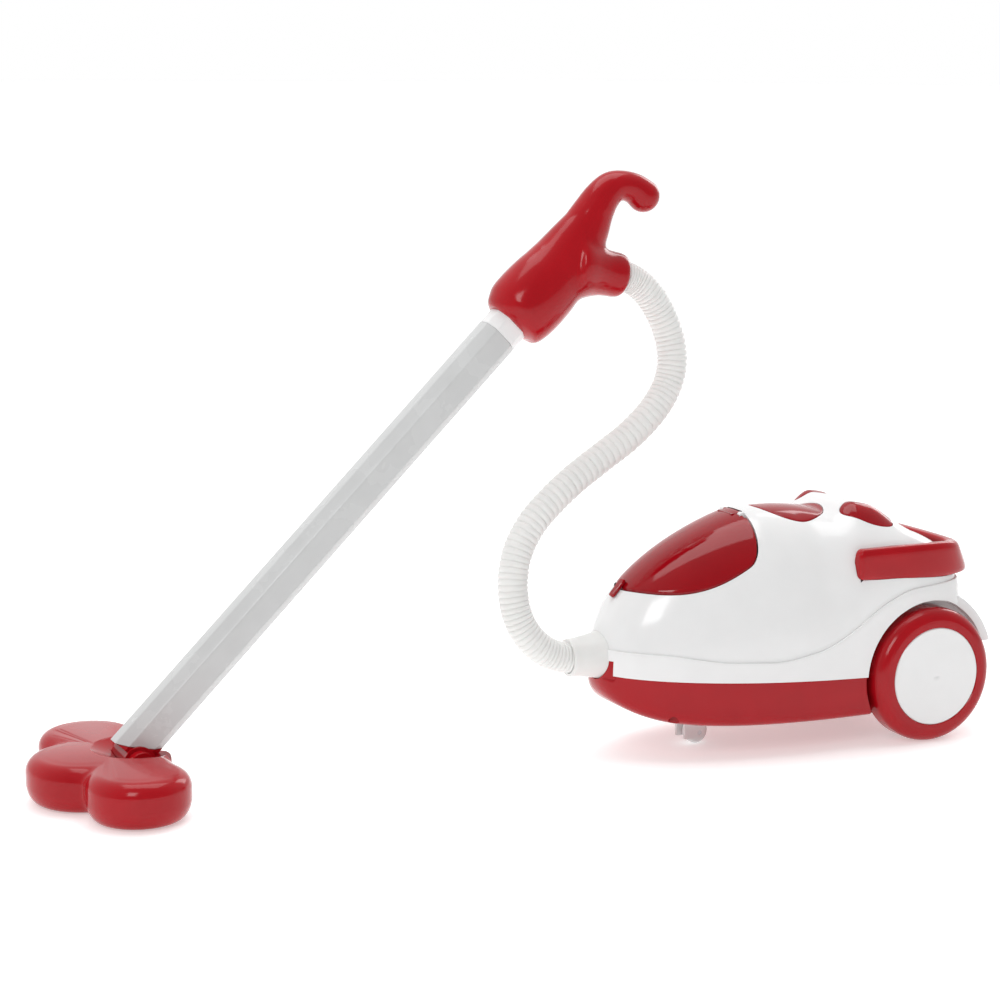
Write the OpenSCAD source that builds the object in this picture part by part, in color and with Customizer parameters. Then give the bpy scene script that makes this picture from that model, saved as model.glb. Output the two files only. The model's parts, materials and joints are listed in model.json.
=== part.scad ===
// Toy vacuum cleaner: a wheeled canister with a dust lid, a ribbed hose, and a wand with a lobed floor head.
// Millimetres, +Z up. The canister is drawn with its rear axle over x = 0, nose towards -X.
// row() then centres the whole toy over the origin, standing on z = 0.

/* [Canister body] */
// Distance from the rear axle to the tip of the nose
body_front = 219; // [215:1:223]
// Distance from the rear axle to the rear wall
body_rear = 38; // [36:0.5:40]
// Distance from the rear axle forward to the widest section
belly = 49; // [46:1:52]
// Half of the body's greatest width
body_half = 62; // [61:0.5:63]
// Height of the shell's highest point over the floor
crown_height = 156; // [154:0.5:158]
// Distance from the rear axle forward to the highest point
crown_back = 112; // [110:0.5:114]
// Height of the pan's flat bottom over the floor
clearance = 19.5; // [19:0.25:20]
// Height of the seam between pan and shell over the rear axle
seam_rear = 47; // [46.5:0.25:47.5]
// Rise of the seam from the rear axle to the nose
seam_rise = 10; // [9:0.5:11]
// Wall of the upper shell
shell_wall = 2.2; // [2:0.1:2.6]
// Wall of the base pan
pan_wall = 2.4; // [2:0.1:2.8]
// Depth of the step along the swept crease
crease_step = 1.4; // [0.8:0.1:1.8]
// How far the skin flares out below the crease at the rear
fender_flare = 5; // [4:0.5:6]
// Outer radius of the mudguards over the wheels
guard_r = 56; // [55:0.5:57]
// Distance between the outer edges of the mudguards
guard_span = 110; // [108:0.5:112]
// Height of the hump that carries the lamps
hump_height = 9.5; // [8.5:0.5:10]

/* [Dust lid and bin] */
// Distance from the rear axle forward to the lid's widest line
lid_mid = 133; // [132:0.5:134]
// Length of the lid in front of its widest line
lid_fore = 66; // [65:0.5:66.5]
// Length of the lid behind its widest line
lid_aft = 17; // [16.5:0.25:17.5]
// Half of the lid's width
lid_half = 41.5; // [41:0.25:42]
// Thickness of the lid, measured upright
lid_wall = 2.4; // [2:0.1:2.6]
// Gap between the lid and its opening at the sides
lid_gap = 0.8; // [0.7:0.1:1]
// Extra gap in front of the lid, which swings forward as it opens
lid_nose_gap = 0.9; // [0.8:0.1:1.2]
// Diameter of the lid's hinge pin
lid_pin_d = 2; // [1.8:0.1:2.2]
// Wall of the dust bin
bin_wall = 1.6; // [1.4:0.1:2]
// Height of the bin's floor over the ground
bin_floor = 56; // [55:0.5:57]

/* [Power button] */
// Distance from the rear axle forward to the button's middle
button_back = 76; // [75.5:0.25:76.5]
// Half of the button's length
button_a = 25; // [24:0.25:26]
// Half of the button's width
button_b = 25; // [24:0.25:26]
// How far the button travels when pressed
button_travel = 2; // [1.5:0.25:2.25]
// Gap between the button and its opening
button_gap = 0.4; // [0.35:0.05:0.5]

/* [Lamps] */
// Distance from the rear axle forward to the lamps' middle
lamp_back = 33; // [32.5:0.25:33.5]
// Distance of a lamp from the canister's middle plane
lamp_side = 32; // [31.5:0.25:32.5]
// Half of a lens's length
lamp_a = 18; // [17:0.25:18.5]
// Half of a lens's width
lamp_b = 9.5; // [9:0.25:10]
// Rise of a lens over the skin
lens_bulge = 1.5; // [1:0.25:3]
// Diameter of a lamp bulb
bulb_d = 5; // [4.8:0.1:5.2]

/* [Rear handle] */
// Half of the distance between the middles of the handle's arms
grip_half = 56; // [55.5:0.25:56.5]
// Distance from the rear axle back to the middle of the crossbar
grip_rear = 38; // [37.5:0.25:38.5]
// Thickness of the handle band
grip_thick = 9; // [8:0.5:9]
// Height of the handle band
grip_height = 24; // [23:0.5:24.5]
// Height of the band's middle over the floor
grip_level = 120.5; // [120:0.25:121]

/* [Wheels] */
// Diameter of the rear wheels
wheel_d = 90; // [88:0.5:92]
// Width of a rear wheel
wheel_width = 20; // [19:0.5:20.5]
// Distance between the outer faces of the rear wheels
track = 140; // [139:0.5:142]
// Width of the red rim round the white disc of each wheel
rim = 12.5; // [12:0.25:14]
// Diameter of the rear axle
axle_d = 4; // [3.8:0.1:4.2]
// Gap between a wheel and its well
well_gap = 4.5; // [4:0.25:5]

/* [Caster] */
// Distance from the rear axle forward to the caster's swivel axis
caster_back = 150; // [149:0.5:151]
// Trail of the caster wheel behind the swivel axis
caster_trail = 7; // [6:0.25:7.5]
// Diameter of the caster wheel
caster_d = 16; // [15:0.25:16.5]
// Width of the caster wheel
caster_w = 8; // [7:0.25:8.5]
// Diameter of the swivel stem
stem_d = 7; // [6.5:0.1:7.5]

/* [Battery bay] */
// Distance from the rear axle forward to the bay's middle
bay_back = 95; // [94.5:0.25:95.5]
// Diameter of a battery cell
cell_d = 14.2; // [14:0.1:14.5]
// Length of a battery cell
cell_l = 50; // [49:0.5:50.5]

/* [Fan and motor] */
// Height of the fan's axis over the floor
fan_level = 80; // [79:0.5:81]
// Diameter of the impeller
fan_d = 48; // [46:0.5:50]
// Diameter of the motor
motor_d = 24; // [23:0.25:25]
// Length of the motor
motor_l = 32; // [30:0.5:34]
// Diameter of the motor's shaft
shaft_d = 2; // [1.8:0.1:2.4]

/* [Hose] */
// Diameter over the hose's ribs
hose_d = 20; // [19:0.25:20.5]
// Diameter between the ribs
hose_root_d = 17.4; // [17:0.1:18]
// Diameter of the hose's bore
hose_bore = 14.4; // [14:0.1:15]
// Height of the hose inlet's axis over the floor
inlet_level = 67; // [66.5:0.25:67.5]

/* [Wand] */
// Distance of the wand's plane from the canister's middle plane
wand_side = 44; // [42:0.5:46]
// Lean of the wand over the floor, in degrees
wand_lean = 44.4; // [43.5:0.1:45]
// Distance from the rear axle forward to the neck's pivot
pivot_back = 514.5; // [513.5:0.5:515.5]
// Height of the neck's pivot over the floor
pivot_level = 22.5; // [22.1:0.1:22.9]
// Distance of the pivot from the tube's axis
pivot_drop = 5.1; // [4.7:0.1:5.5]
// Width of the bevelled tube, seen from the side
tube_w = 26; // [25:0.5:27]
// Depth of the bevelled tube from side to side
tube_depth = 22; // [21:0.5:23]
// Size of the tube's bevels
tube_bevel = 6; // [5:0.25:6.5]
// Wall of the tube
tube_wall = 1.6; // [1.4:0.1:2]
// Distance from the pivot to the upper corner of the tube's mitred foot
tube_foot = -0.8; // [-1:0.1:0]
// Length of the mitre, from the foot's upper corner to its lower one
mitre = 17; // [16:0.5:18]

/* [Handle] */
// Distance from the pivot to the handle's mouth
mouth = 362.4; // [361.9:0.25:362.9]
// Length of the white collar that shows between tube and handle
collar_show = 11; // [10:0.25:12]
// Half width of the handle's bulb, seen from the side
bulb_half = 24.5; // [23:0.5:25.5]
// Half thickness of the handle's bulb
bulb_side = 23; // [22:0.5:24]
// Radius of the round tip of the hook
hook_r = 10.8; // [10:0.1:11.5]
// Wall of the handle's halves
handle_wall = 2.6; // [2.4:0.1:3]
// Outer radius of the hose outlet
outlet_r = 15; // [14.5:0.1:15.5]

/* [Floor head] */
// Radius of the two side lobes
lobe_r = 31.5; // [30.5:0.25:32]
// Radius of the front lobe
front_r = 37; // [36:0.5:38]
// Distance from the head's middle to the front lobe's middle
lobe_front = 14; // [13:0.5:15]
// Distance from the middle plane to a side lobe's middle
lobe_side = 52; // [51:0.5:53]
// Height of the floor head
head_height = 30.5; // [30:0.25:31]
// Rounding of the head's shoulder
shoulder = 9.5; // [9:0.25:10]
// Softness of the valleys between the lobes
valley = 3; // [2.5:0.25:3.5]
// Thickness of the sole plate
sole_thick = 3; // [2.5:0.1:3.2]
// Radius of the neck's barrel
barrel_r = 10.5; // [10:0.1:10.8]
// Width of the neck's barrel
barrel_w = 26; // [25:0.25:26.5]
// Diameter of the neck pins
neck_pin_d = 5; // [4.6:0.1:5.2]

/* [Fits] */
// Radial clearance of a running shaft in its bore
run_fit = 0.08; // [0.05:0.01:0.1]
// Radial clearance of a screw or pin in its hole
screw_fit = 0.05; // [0.03:0.01:0.08]
// Gap round a piece that is fixed in its opening
seat_gap = 0.2; // [0.15:0.05:0.25]
// Clear distance between pieces that move past each other
move_gap = 0.4; // [0.35:0.05:0.5]
// Gap between pan and shell along the seam
seam_gap = 0.1; // [0.06:0.02:0.16]

/* [Hidden] */
$fn = 48;

red = [0.72, 0.03, 0.06];
white = [0.93, 0.93, 0.92];
clear_red = [0.75, 0.02, 0.05, 0.8];
grey = [0.75, 0.76, 0.76];
dark = [0.18, 0.18, 0.19];
steel = [0.7, 0.71, 0.73];

around = 52;               // points round the shell and the pan
crease_rows = 3;           // rows of the skin below the crease
top_rows = 12;             // rows of the skin above the crease
hub = [-60, 0];            // point in plan that the skin's rows close in on
nose_n = 2.2;              // fullness of the nose in plan
tail_n = 4.5;              // squareness of the tail in plan
axle_z = wheel_d / 2;
disc_d = wheel_d - 2 * rim;
wheel_in = track / 2 - wheel_width;
well_r = wheel_d / 2 + well_gap;
well_y = wheel_in - 1;
inlet_r = 15.5;

// The finished toy's extent along X and Y sets the shift that centres it.
head_mid = -pivot_back - 15.5;
toy_front = head_mid - lobe_front - front_r;
guard_foot = 62;           // height of the mudguards' lower edge
toy_rear = sqrt(guard_r * guard_r - pow(guard_foot - axle_z, 2));
toy_far = wand_side + lobe_side + lobe_r;
disc_dome = 0.5;           // rise of the wheel discs in their middle
shift = [-(toy_front + toy_rear) / 2, (track / 2 + disc_dome - toy_far) / 2, 0];

module row() translate(shift) children();

// A moulded skin with all its openings, taken as one surface.
module skin() resize([0, 0, 0]) children();

// Height over a superellipse's long axis.
function sup(u, n) = pow(max(0, 1 - pow(min(1, abs(u)), n)), 1 / n);
function ease(a, b, x) = let (t = min(1, max(0, (x - a) / (b - a)))) t * t * (3 - 2 * t);
function spow(v, p) = sign(v) * pow(abs(v), p);

// Smooth curve through points, for a position that runs from 0 to the last point's number.
function spline(p, u) =
    let (last = len(p) - 1, i = min(last - 1, floor(u)), t = u - i,
         a = p[max(0, i - 1)], b = p[i], c = p[i + 1], d = p[min(last, i + 2)])
    b + t / 2 * ((c - a) + t * ((2 * a - 5 * b + 4 * c - d) + t * (3 * b - a - 3 * c + d)));

// Body: the seam, the outline in plan, the bilge and the crown line.
function bilge_n(t) = 10 - 7 * pow(max(0, -cos(t)), 2);
function seam_z(x) = seam_rear + seam_rise * pow(max(0, -x) / body_front, 1.5);
function plan_n(c) = c < 0 ? nose_n : tail_n;
function plan_len(c, e) = (c < 0 ? body_front - belly : body_rear + belly) - e;
function outline(t, e) = let (c = cos(t), s = sin(t), n = plan_n(c))
    [-belly + plan_len(c, e) * spow(c, 2 / n), (body_half - e) * spow(s, 2 / n)];
function outward(t) = let (c = cos(t), s = sin(t), n = plan_n(c),
    v = [spow(c, 2 - 2 / n) / plan_len(c, 0), spow(s, 2 - 2 / n) / body_half]) v / norm(v);
function plan_y(x, e) = let (c = x + belly)
    max(0.01, (body_half - e) * sup(c / plan_len(c, e), plan_n(c)));
function crown_fore(x, e) = let (u = min(1, (-crown_back - x) / (body_front - e - crown_back)))
    pow(max(0, 1 - pow(u, 1.2)), 0.4);
function crown_aft(x, e) = sup((x + crown_back) / (body_rear - e + crown_back), 9);
function crown_sag(x) = let (d = max(0, x + crown_back)) 0.02 * d + 0.0012 * d * d;
function crown(x, e) = let (z = seam_z(x))
    z + (crown_height - e - crown_sag(x) - z) * (x < -crown_back ? crown_fore(x, e) : crown_aft(x, e));
function section_n(x) = 2.25 + 2.6 * ease(-80, -15, x);
function hump(x, y) = hump_height * ease(-58, -40, x) * (1 - ease(-30, 6, x)) * (1 - ease(25, 50, abs(y)));
function top_z(x, y, e = 0) = let (z = seam_z(x))
    z + (crown(x, e) - z) * sup(y / plan_y(x, e), section_n(x)) + (e > 0 ? 0.6 : 1) * hump(x, y);

// Height of the swept crease along the side, and how far the skin below it stands out.
crease_line = [[-219, 73], [-185, 71], [-150, 65], [-110, 63], [-79, 69], [-58, 80], [-40, 93], [-17, 103],
               [24, 105], [60, 105]];
function crease_z(x) = lookup(x, crease_line);
function flare(x) = fender_flare * (0.45 * ease(-70, 5, x) + 0.55 * ease(5, 30, x));
function at_hub(o, r) = hub + r * (o - hub);
// Fraction of the way out from the hub at which the skin has a given height.
function find_r(o, z, e, lo, hi, n) = let (m = (lo + hi) / 2, p = at_hub(o, m))
    n == 0 ? m : top_z(p[0], p[1], e) > z ? find_r(o, z, e, m, hi, n - 1) : find_r(o, z, e, lo, m, n - 1);

function low_point(t, f) = let (o = outline(t, 0), z = seam_z(o[0]) + seam_gap / 2,
    zc = crease_z(o[0]), h = z + (zc - z) * f, r = f == 0 ? 1 : find_r(o, h, 0, 0.5, 1, 18),
    p = at_hub(o, r) + outward(t) * (crease_step + flare(o[0]) * pow(1 - f, 1.2)))
    [p[0], p[1], h];
function high_point(t, f) = let (o = outline(t, 0), zc = crease_z(o[0]),
    rc = find_r(o, zc + 0.4, 0, 0.5, 1, 18), p = at_hub(o, rc * pow(cos(90 * f), 0.87)))
    [p[0], p[1], top_z(p[0], p[1])];

function ring(f, fn) = [for (k = [0:around - 1]) let (t = 360 * k / around) fn(t, f)];

// Faces of a skin of rings that closes in an apex and is capped across by strips.
function band_faces(rows, n) = [for (r = [0:rows - 2]) for (k = [0:n - 1])
    let (a = r * n + k, b = r * n + (k + 1) % n, c = b + n, d = a + n) each [[a, d, c], [a, c, b]]];
function tip_faces(row, n, tip) = [for (k = [0:n - 1]) [row * n + k, tip, row * n + (k + 1) % n]];
function cap_faces(n) = [for (k = [0:n / 2 - 1]) let (j = n - k)
    each k == 0 ? [[0, 1, n - 1]] : k == n / 2 - 1 ? [[k, k + 1, j]] : [[k, k + 1, j - 1], [k, j - 1, j]]];
function flip(faces) = [for (f = faces) [f[2], f[1], f[0]]];

module closed_skin(rings, tip, turned = false) {
    n = len(rings[0]);
    rows = len(rings);
    faces = concat(band_faces(rows, n), tip_faces(rows - 1, n, rows * n), cap_faces(n));
    polyhedron(concat([for (r = rings) each r], [tip]), turned ? flip(faces) : faces);
}

// Skin of rings that closes in a point at both ends.
module closed_fan(rings, tip, foot) {
    n = len(rings[0]);
    rows = len(rings);
    polyhedron(concat([for (r = rings) each r], [tip, foot]), concat(band_faces(rows, n),
        tip_faces(rows - 1, n, rows * n), flip(tip_faces(0, n, rows * n + 1))));
}

module shell_outside() {
    low = [for (j = [0:crease_rows]) ring(j / crease_rows, function(t, f) low_point(t, f))];
    high = [for (j = [0:top_rows - 1]) ring(j / top_rows, function(t, f) high_point(t, f))];
    closed_skin(concat(low, high), [hub[0], hub[1], top_z(hub[0], hub[1])]);
}

module shell_inside(e) {
    n = around / 2;
    rows = 8;
    rings = [for (j = [-1:rows - 1]) [for (k = [0:n - 1]) let (t = 360 * k / n, o = outline(t, e),
        p = at_hub(o, pow(cos(90 * max(0, j) / rows), 0.8)), z = top_z(p[0], p[1], e))
        [p[0], p[1], j < 0 ? z - 3 : z]]];
    closed_skin(rings, [hub[0], hub[1], top_z(hub[0], hub[1], e)]);
}

module pan_outside(e, lift) {
    n = e == 0 ? around : around / 2;
    rows = e == 0 ? 7 : 5;
    rings = [for (j = [(lift > 0 ? -1 : 0):rows]) [for (k = [0:n - 1]) let (t = 360 * k / n,
        o = outline(t, e), a = 72 * max(0, j) / rows, m = 2 / bilge_n(t), p = at_hub(o, pow(cos(a), m)),
        z = seam_z(o[0]) - seam_gap / 2, f = j == rows ? 1 : pow(sin(a), m))
        [p[0], p[1], j < 0 ? z + lift : z - (z - clearance - e) * f]]];
    closed_skin(rings, [hub[0], hub[1], clearance + e], true);
}

module wells(r, y) {
    for (side = [-1, 1])
        translate([0, side * (y + 60), axle_z])
            rotate([90, 0, 0])
                cylinder(r = r, h = 120, center = true, $fn = 48);
}

// Blocks in the pan that carry the rear axle, from a wheel well inwards, and the axle's bore.
module axle_block(side, outer, top) translate([-7, side > 0 ? well_y - 12.5 : -outer, clearance + 1])
    cube([14, outer - well_y + 12.5, top - clearance - 1]);
module axle_bore() translate([0, track / 2, axle_z]) rotate([90, 0, 0])
    cylinder(d = axle_d + 2 * screw_fit, h = track);

// Round mudguards over the wheels, part of the upper shell.
module mudguards() intersection() {
    for (side = [-1, 1])
        translate([0, side * (guard_span / 2 + well_y - 3) / 2, axle_z])
            rotate([90, 0, 0])
                cylinder(r = guard_r, h = guard_span / 2 - well_y + 3, center = true, $fn = 48);
    translate([-20, -100, guard_foot])
        cube([120, 200, 60]);
}

// The pan's chin stands up round the lower half of the inlet.
module chin(grow) translate([-body_front - 10, -19 - grow, 40])
    cube([27 + grow, 38 + 2 * grow, inlet_level - 41 + grow]);

// Egg-shaped outline of the dust lid, grown by a margin.
function egg(t, g, nose = 0) = let (c = cos(t))
    c < 0 ? [-lid_mid + (lid_fore + g + nose) * c, (lid_half + g) * sin(t)]
        : [-lid_mid + (lid_aft + g) * sqrt(c), (lid_half + g) * spow(sin(t), 0.5)];
function oval(t, g) = [-button_back + (button_a + g) * cos(t), (button_b + g) * sin(t)];
function almond(t, g, side) = let (a = (lamp_a + g) * cos(t), b = (lamp_b + g) * sin(t), q = 19)
    [-lamp_back + a * cos(q) + b * sin(q), side * (lamp_side + a * sin(q) - b * cos(q))];

// A piece of the skin inside a closed outline: its top and underside follow the body's surface.
module patch(fn, n, rows, up, down, bulge = 0, turned = false) {
    o = [for (k = [0:n - 1]) fn(360 * k / n)];
    mid = [for (i = [0, 1]) (o[0][i] + o[n / 2][i]) / 2];
    share = [for (j = [0:rows - 1]) 1 - pow(j / rows, 1.3)];
    grid = [for (j = [0:rows - 1]) [for (p = o) mid + (p - mid) * share[j]]];
    above = [for (j = [0:rows - 1]) [for (p = grid[j])
        [p[0], p[1], top_z(p[0], p[1]) + up + bulge * (1 - share[j] * share[j])]]];
    below = [for (j = [0:rows - 1]) [for (p = grid[j]) [p[0], p[1], top_z(p[0], p[1]) - down]]];
    mid_z = top_z(mid[0], mid[1]);
    tips = [[mid[0], mid[1], mid_z + up + bulge], [mid[0], mid[1], mid_z - down]];
    half = rows * n;
    tops = concat(band_faces(rows, n), tip_faces(rows - 1, n, 2 * half));
    unders = [for (f = flip(concat(band_faces(rows, n), tip_faces(rows - 1, n, half)))) f + half * [1, 1, 1]];
    rim = [for (k = [0:n - 1]) let (a = k, b = (k + 1) % n) each [[a, b, half + b], [a, half + b, half + a]]];
    faces = concat(tops, unders, rim);
    points = concat([for (r = above) each r], [for (r = below) each r], tips);
    polyhedron(points, turned ? flip(faces) : faces);
}

module prism(fn, n, z0, z1) translate([0, 0, z0])
    linear_extrude(z1 - z0) polygon([for (k = [0:n - 1]) fn(360 * k / n)]);

// Rear handle: a band swept round the back of the body.
grip_slant = 0.5;          // lean of the crossbar with the rear wall
arm_taper = 0.3;           // share by which the arms' lower half narrows at their front ends
grip_turn = [90, 86, 80, 72, 62, 52, 42, 32, 22, 11];
function grip_curve(t) = let (c = cos(t), s = sin(t))
    [-belly + (grip_rear + belly) * pow(max(0, c), 2 / tail_n), grip_half * spow(s, 2 / tail_n)];
grip_path = concat([[-belly - 6, grip_half], [-belly - 5, grip_half], [-belly - 2, grip_half]],
    [for (t = grip_turn) grip_curve(t)], [grip_curve(0)],
    [for (i = [len(grip_turn) - 1:-1:0]) grip_curve(-grip_turn[i])],
    [[-belly - 2, -grip_half], [-belly - 5, -grip_half], [-belly - 6, -grip_half]]);
module grip_band(grow) {
    n = 16;
    last = len(grip_path) - 1;
    rings = [for (i = [0:last]) let (d = grip_path[min(last, i + 1)] - grip_path[max(0, i - 1)],
        u = d / norm(d), end = min(i, last - i), k = end == 0 ? 0.6 : end == 1 ? 0.9 : 1,
        g = end == 0 ? grow * (i == 0 ? -1 : 1) : 0)
        [for (j = [0:n - 1]) let (t = 360 * (j + 0.5) / n,
            a = (k * grip_thick / 2 + grow) * spow(cos(t), 0.5),
            taper = arm_taper * (1 - ease(-belly - 6, -10, grip_path[i][0])),
            low = t < 180 ? 1 - 0.3 * abs(u[1]) : 1 - taper,
            b = (k * grip_height / 2 + grow) * spow(sin(t), 0.5) * low)
            [grip_path[i][0] - u[1] * a + u[0] * g - grip_slant * b * abs(u[1]),
             grip_path[i][1] + u[0] * a + u[1] * g, grip_level + b]]];
    polyhedron([for (r = rings) each r], concat(band_faces(last + 1, n),
        [for (k = [1:n - 2]) [0, k, k + 1]], [for (k = [1:n - 2]) last * n * [1, 1, 1] + [0, k + 1, k]]));
}

// Screw places in the case: [x, y, top of the shell's post].
case_spots = [[-66, 49.5, 100], [-66, -49.5, 100], [-180, 37, 86], [-180, -37, 86]];
case_head_z = 36;
bracket_side = 34;
bracket_spots = [for (i = [-1, 1]) for (j = [-1, 1]) [-button_back + 13 * i, bracket_side * j]];
bracket_z = 132;
hinge_x = -lid_mid + lid_aft - 0.5;
hinge_z = top_z(hinge_x, 0) - 2.6;
knuckle_r = 2.3;
knuckle_half = 9;
lug_w = 4;
lug_side = knuckle_half + move_gap + lug_w / 2;

module at_lid_axis(half) translate([hinge_x, half, hinge_z]) rotate([90, 0, 0]) children();

module upper_shell() color(white) row() difference() {
    union() {
        skin() difference() {
            union() {
                shell_outside();
                mudguards();
            }
            difference() {
                shell_inside(shell_wall);
                wells(well_r + 2, well_y - 2);
                for (p = case_spots)
                    translate([p[0], p[1], 40])
                        union() {
                            cylinder(r = 4.5, h = p[2] - 40, $fn = 24);
                            translate([-1.2, p[1] > 0 ? 0 : -20, 0])
                                cube([2.4, 20, p[2] - 40]);
                        }
                for (p = bracket_spots)
                    translate([p[0], p[1], bracket_z])
                        cylinder(r = 3, h = 30, $fn = 20);
                for (side = [-1, 1])
                    translate([hinge_x - 2.5, side * lug_side - lug_w / 2, hinge_z - 3])
                        cube([11, lug_w, 12]);
            }
            wells(well_r, well_y);
            difference() {
                prism(function(t) egg(t, lid_gap, lid_nose_gap), 40, 80, 175);
                for (side = [-1, 1])
                    at_lid_axis(side * lug_side + lug_w / 2)
                        cylinder(r = knuckle_r, h = lug_w, $fn = 24);
            }
            at_lid_axis(knuckle_half + move_gap)
                cylinder(r = knuckle_r + 2 * move_gap, h = 2 * (knuckle_half + move_gap), $fn = 24);
            prism(function(t) oval(t, button_gap), 36, 130, 175);
            for (side = [-1, 1])
                prism(function(t) almond(t, seat_gap, side), 28, 100, 175);
            grip_band(seat_gap);
            chin(seat_gap);
        }
    }
    translate([-body_front - 20, 0, inlet_level])
        rotate([0, 90, 0])
            cylinder(r = inlet_r, h = 50);
    at_lid_axis(30)
        cylinder(d = lid_pin_d + 2 * screw_fit, h = 60);
    for (p = case_spots)
        translate([p[0], p[1], 40])
            cylinder(r = 1.4 + screw_fit, h = 26);
    for (p = bracket_spots)
        translate([p[0], p[1], bracket_z - 1])
            cylinder(r = 1.1 + screw_fit, h = 9);
    axle_bore();
}

// Finger tab: a tongue over the shell in front of the lid, rooted in the lid's edge.
tab_x = -lid_mid - lid_fore - 2;
tab_z = top_z(tab_x, 0);
tab_lean = atan2(top_z(tab_x + 4, 0) - top_z(tab_x - 4, 0), 8);
module finger_tab() {
    translate([tab_x, 0, tab_z])
        rotate([0, -tab_lean, 0])
            translate([-6.5, -2.5, 0.5])
                cube([14, 5, 2.4]);
    translate([-lid_mid - lid_fore + 0.5, -2.5, tab_z - 1])
        cube([5, 5, 7]);
}

module dust_lid() color(clear_red) row() difference() {
    union() {
        skin() difference() {
            union() {
                patch(function(t) egg(t, 0), 40, 6, 0, lid_wall);
                intersection() {
                    translate([hinge_x - 8, -knuckle_half, hinge_z - 2])
                        cube([8, 2 * knuckle_half, 4]);
                    patch(function(t) egg(t, -1), 32, 4, -0.6, lid_wall + 3);
                }
                finger_tab();
            }
            for (side = [-1, 1])
                at_lid_axis(side * lug_side + lug_w / 2 + move_gap)
                    cylinder(r = knuckle_r + move_gap, h = lug_w + 2 * move_gap, $fn = 24);
        }
        at_lid_axis(knuckle_half)
            cylinder(r = knuckle_r, h = 2 * knuckle_half);
    }
    at_lid_axis(30)
        cylinder(d = lid_pin_d + 2 * run_fit, h = 60);
}

module lid_pin() color(steel) row() at_lid_axis(knuckle_half + lug_w)
    cylinder(d = lid_pin_d, h = 2 * (knuckle_half + lug_w));

// Battery bay in the pan: a pocket for the cells under a roof, with a ledge for the door.
bay_in = [3 * cell_d + 12, cell_l + 6];
bay_top = 40;
bay_ledge = 2;
bay_out = bay_in + [8, 8];
door_thick = 2;
ear = [11, 12];
ear_x = -bay_back + bay_in[0] / 2 + bay_ledge;
door_screw_x = ear_x + 6;
roof_z = bay_top + 2;
pan_post_z = 33.5;

module door_shape(gap, z0, z1) translate([0, 0, z0]) linear_extrude(z1 - z0) union() {
    translate([-bay_back - bay_in[0] / 2 - bay_ledge + gap, -bay_in[1] / 2 - bay_ledge + gap])
        square([bay_in[0] + 2 * bay_ledge - 2 * gap, bay_in[1] + 2 * bay_ledge - 2 * gap]);
    translate([ear_x - 2, -ear[1] / 2 + gap])
        square([ear[0] + 2 - gap, ear[1] - 2 * gap]);
}

module base_pan() color(red) row() difference() {
    union() {
        skin() difference() {
            union() {
                difference() {
                    pan_outside(0, 0);
                    difference() {
                        pan_outside(pan_wall, 4);
                        wells(well_r + 2, well_y - 2);
                        for (p = case_spots)
                            translate([p[0], p[1], 20])
                                cylinder(r = 5, h = seam_z(p[0]) - seam_gap / 2 - 20, $fn = 24);
                        for (p = [[-186, 10], [-186, -10]])
                            translate([p[0], p[1], 20])
                                cylinder(r = 4, h = bin_floor - 20, $fn = 20);
                        translate([-caster_back, 0, 20])
                            cylinder(r = 7.5, h = pan_post_z + 4.5 - 20, $fn = 28);
                    }
                }
                for (y = [10, -10])
                    translate([-186, y, 40])
                        cylinder(r = 4, h = bin_floor - 40, $fn = 20);
                intersection() {
                    difference() {
                        prism(function(t) outline(t, -0.4), around, seam_z(-body_front) - 3, 80);
                        prism(function(t) outline(t, pan_wall - 0.5), around, 40, 81);
                    }
                    chin(0);
                }
            }
            wells(well_r, well_y);
        }
        translate([-bay_back - bay_out[0] / 2, -bay_out[1] / 2, clearance])
            cube([bay_out[0], bay_out[1], roof_z - clearance]);
        translate([ear_x, -ear[1] / 2 - 2, clearance])
            cube([ear[0] + 2, ear[1] + 4, 15]);
        for (y = [20, -20])
            translate([-bay_back - bay_out[0] / 2 + 5, y, clearance + 1])
                cylinder(r = 4, h = bin_floor - clearance - 1);
        for (side = [-1, 1]) {
            axle_block(side, well_y - 1.5, seam_rear - seam_gap);
            axle_block(side, well_y - 2 - move_gap, axle_z + 7);
        }
    }
    translate([-bay_back - bay_in[0] / 2, -bay_in[1] / 2, clearance - 1])
        cube([bay_in[0], bay_in[1], bay_top - clearance + 1]);
    door_shape(0, clearance - 1, clearance + door_thick + seat_gap);
    translate([door_screw_x, 0, clearance - 1])
        cylinder(r = 1.3 + screw_fit, h = 13);
    translate([-body_front - 20, 0, inlet_level])
        rotate([0, 90, 0])
            cylinder(r = inlet_r, h = 50);
    for (p = case_spots)
        translate([p[0], p[1], 10]) {
            cylinder(r = 3.5, h = case_head_z - 10);
            cylinder(r = 1.4 + screw_fit, h = 60);
        }
    translate([-caster_back, 0, 10])
        cylinder(d = stem_d + 2 * run_fit, h = 40);
    axle_bore();
}

// Hose inlet: a collar set in the nose, and the tapered cuff that plugs into it.
cuff_tip = -238;
cuff_foot = -body_front + 6;
spigot_r = 11.5;
cuff_r = inlet_r - 0.1;    // the cuff's flare where it meets the collar
cuff_grip = 22.2;          // depth to which the hose sits in the cuff
spigot_len = 44;           // from the cuff's tip to the end of its spigot
collar_len = body_front - lid_mid - lid_fore - 3 - move_gap;  // ends just in front of the bin
module along_x(x, z) translate([x, 0, z]) rotate([0, 90, 0]) children();

module inlet_collar() color(white) row() along_x(cuff_foot, inlet_level) difference() {
    union() {
        cylinder(r = inlet_r - seat_gap, h = collar_len);
        translate([0, 0, collar_len - 3])
            cylinder(r = inlet_r + 3, h = 3);
    }
    translate([0, 0, -1])
        cylinder(r = spigot_r + screw_fit, h = collar_len + 2);
}

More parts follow.
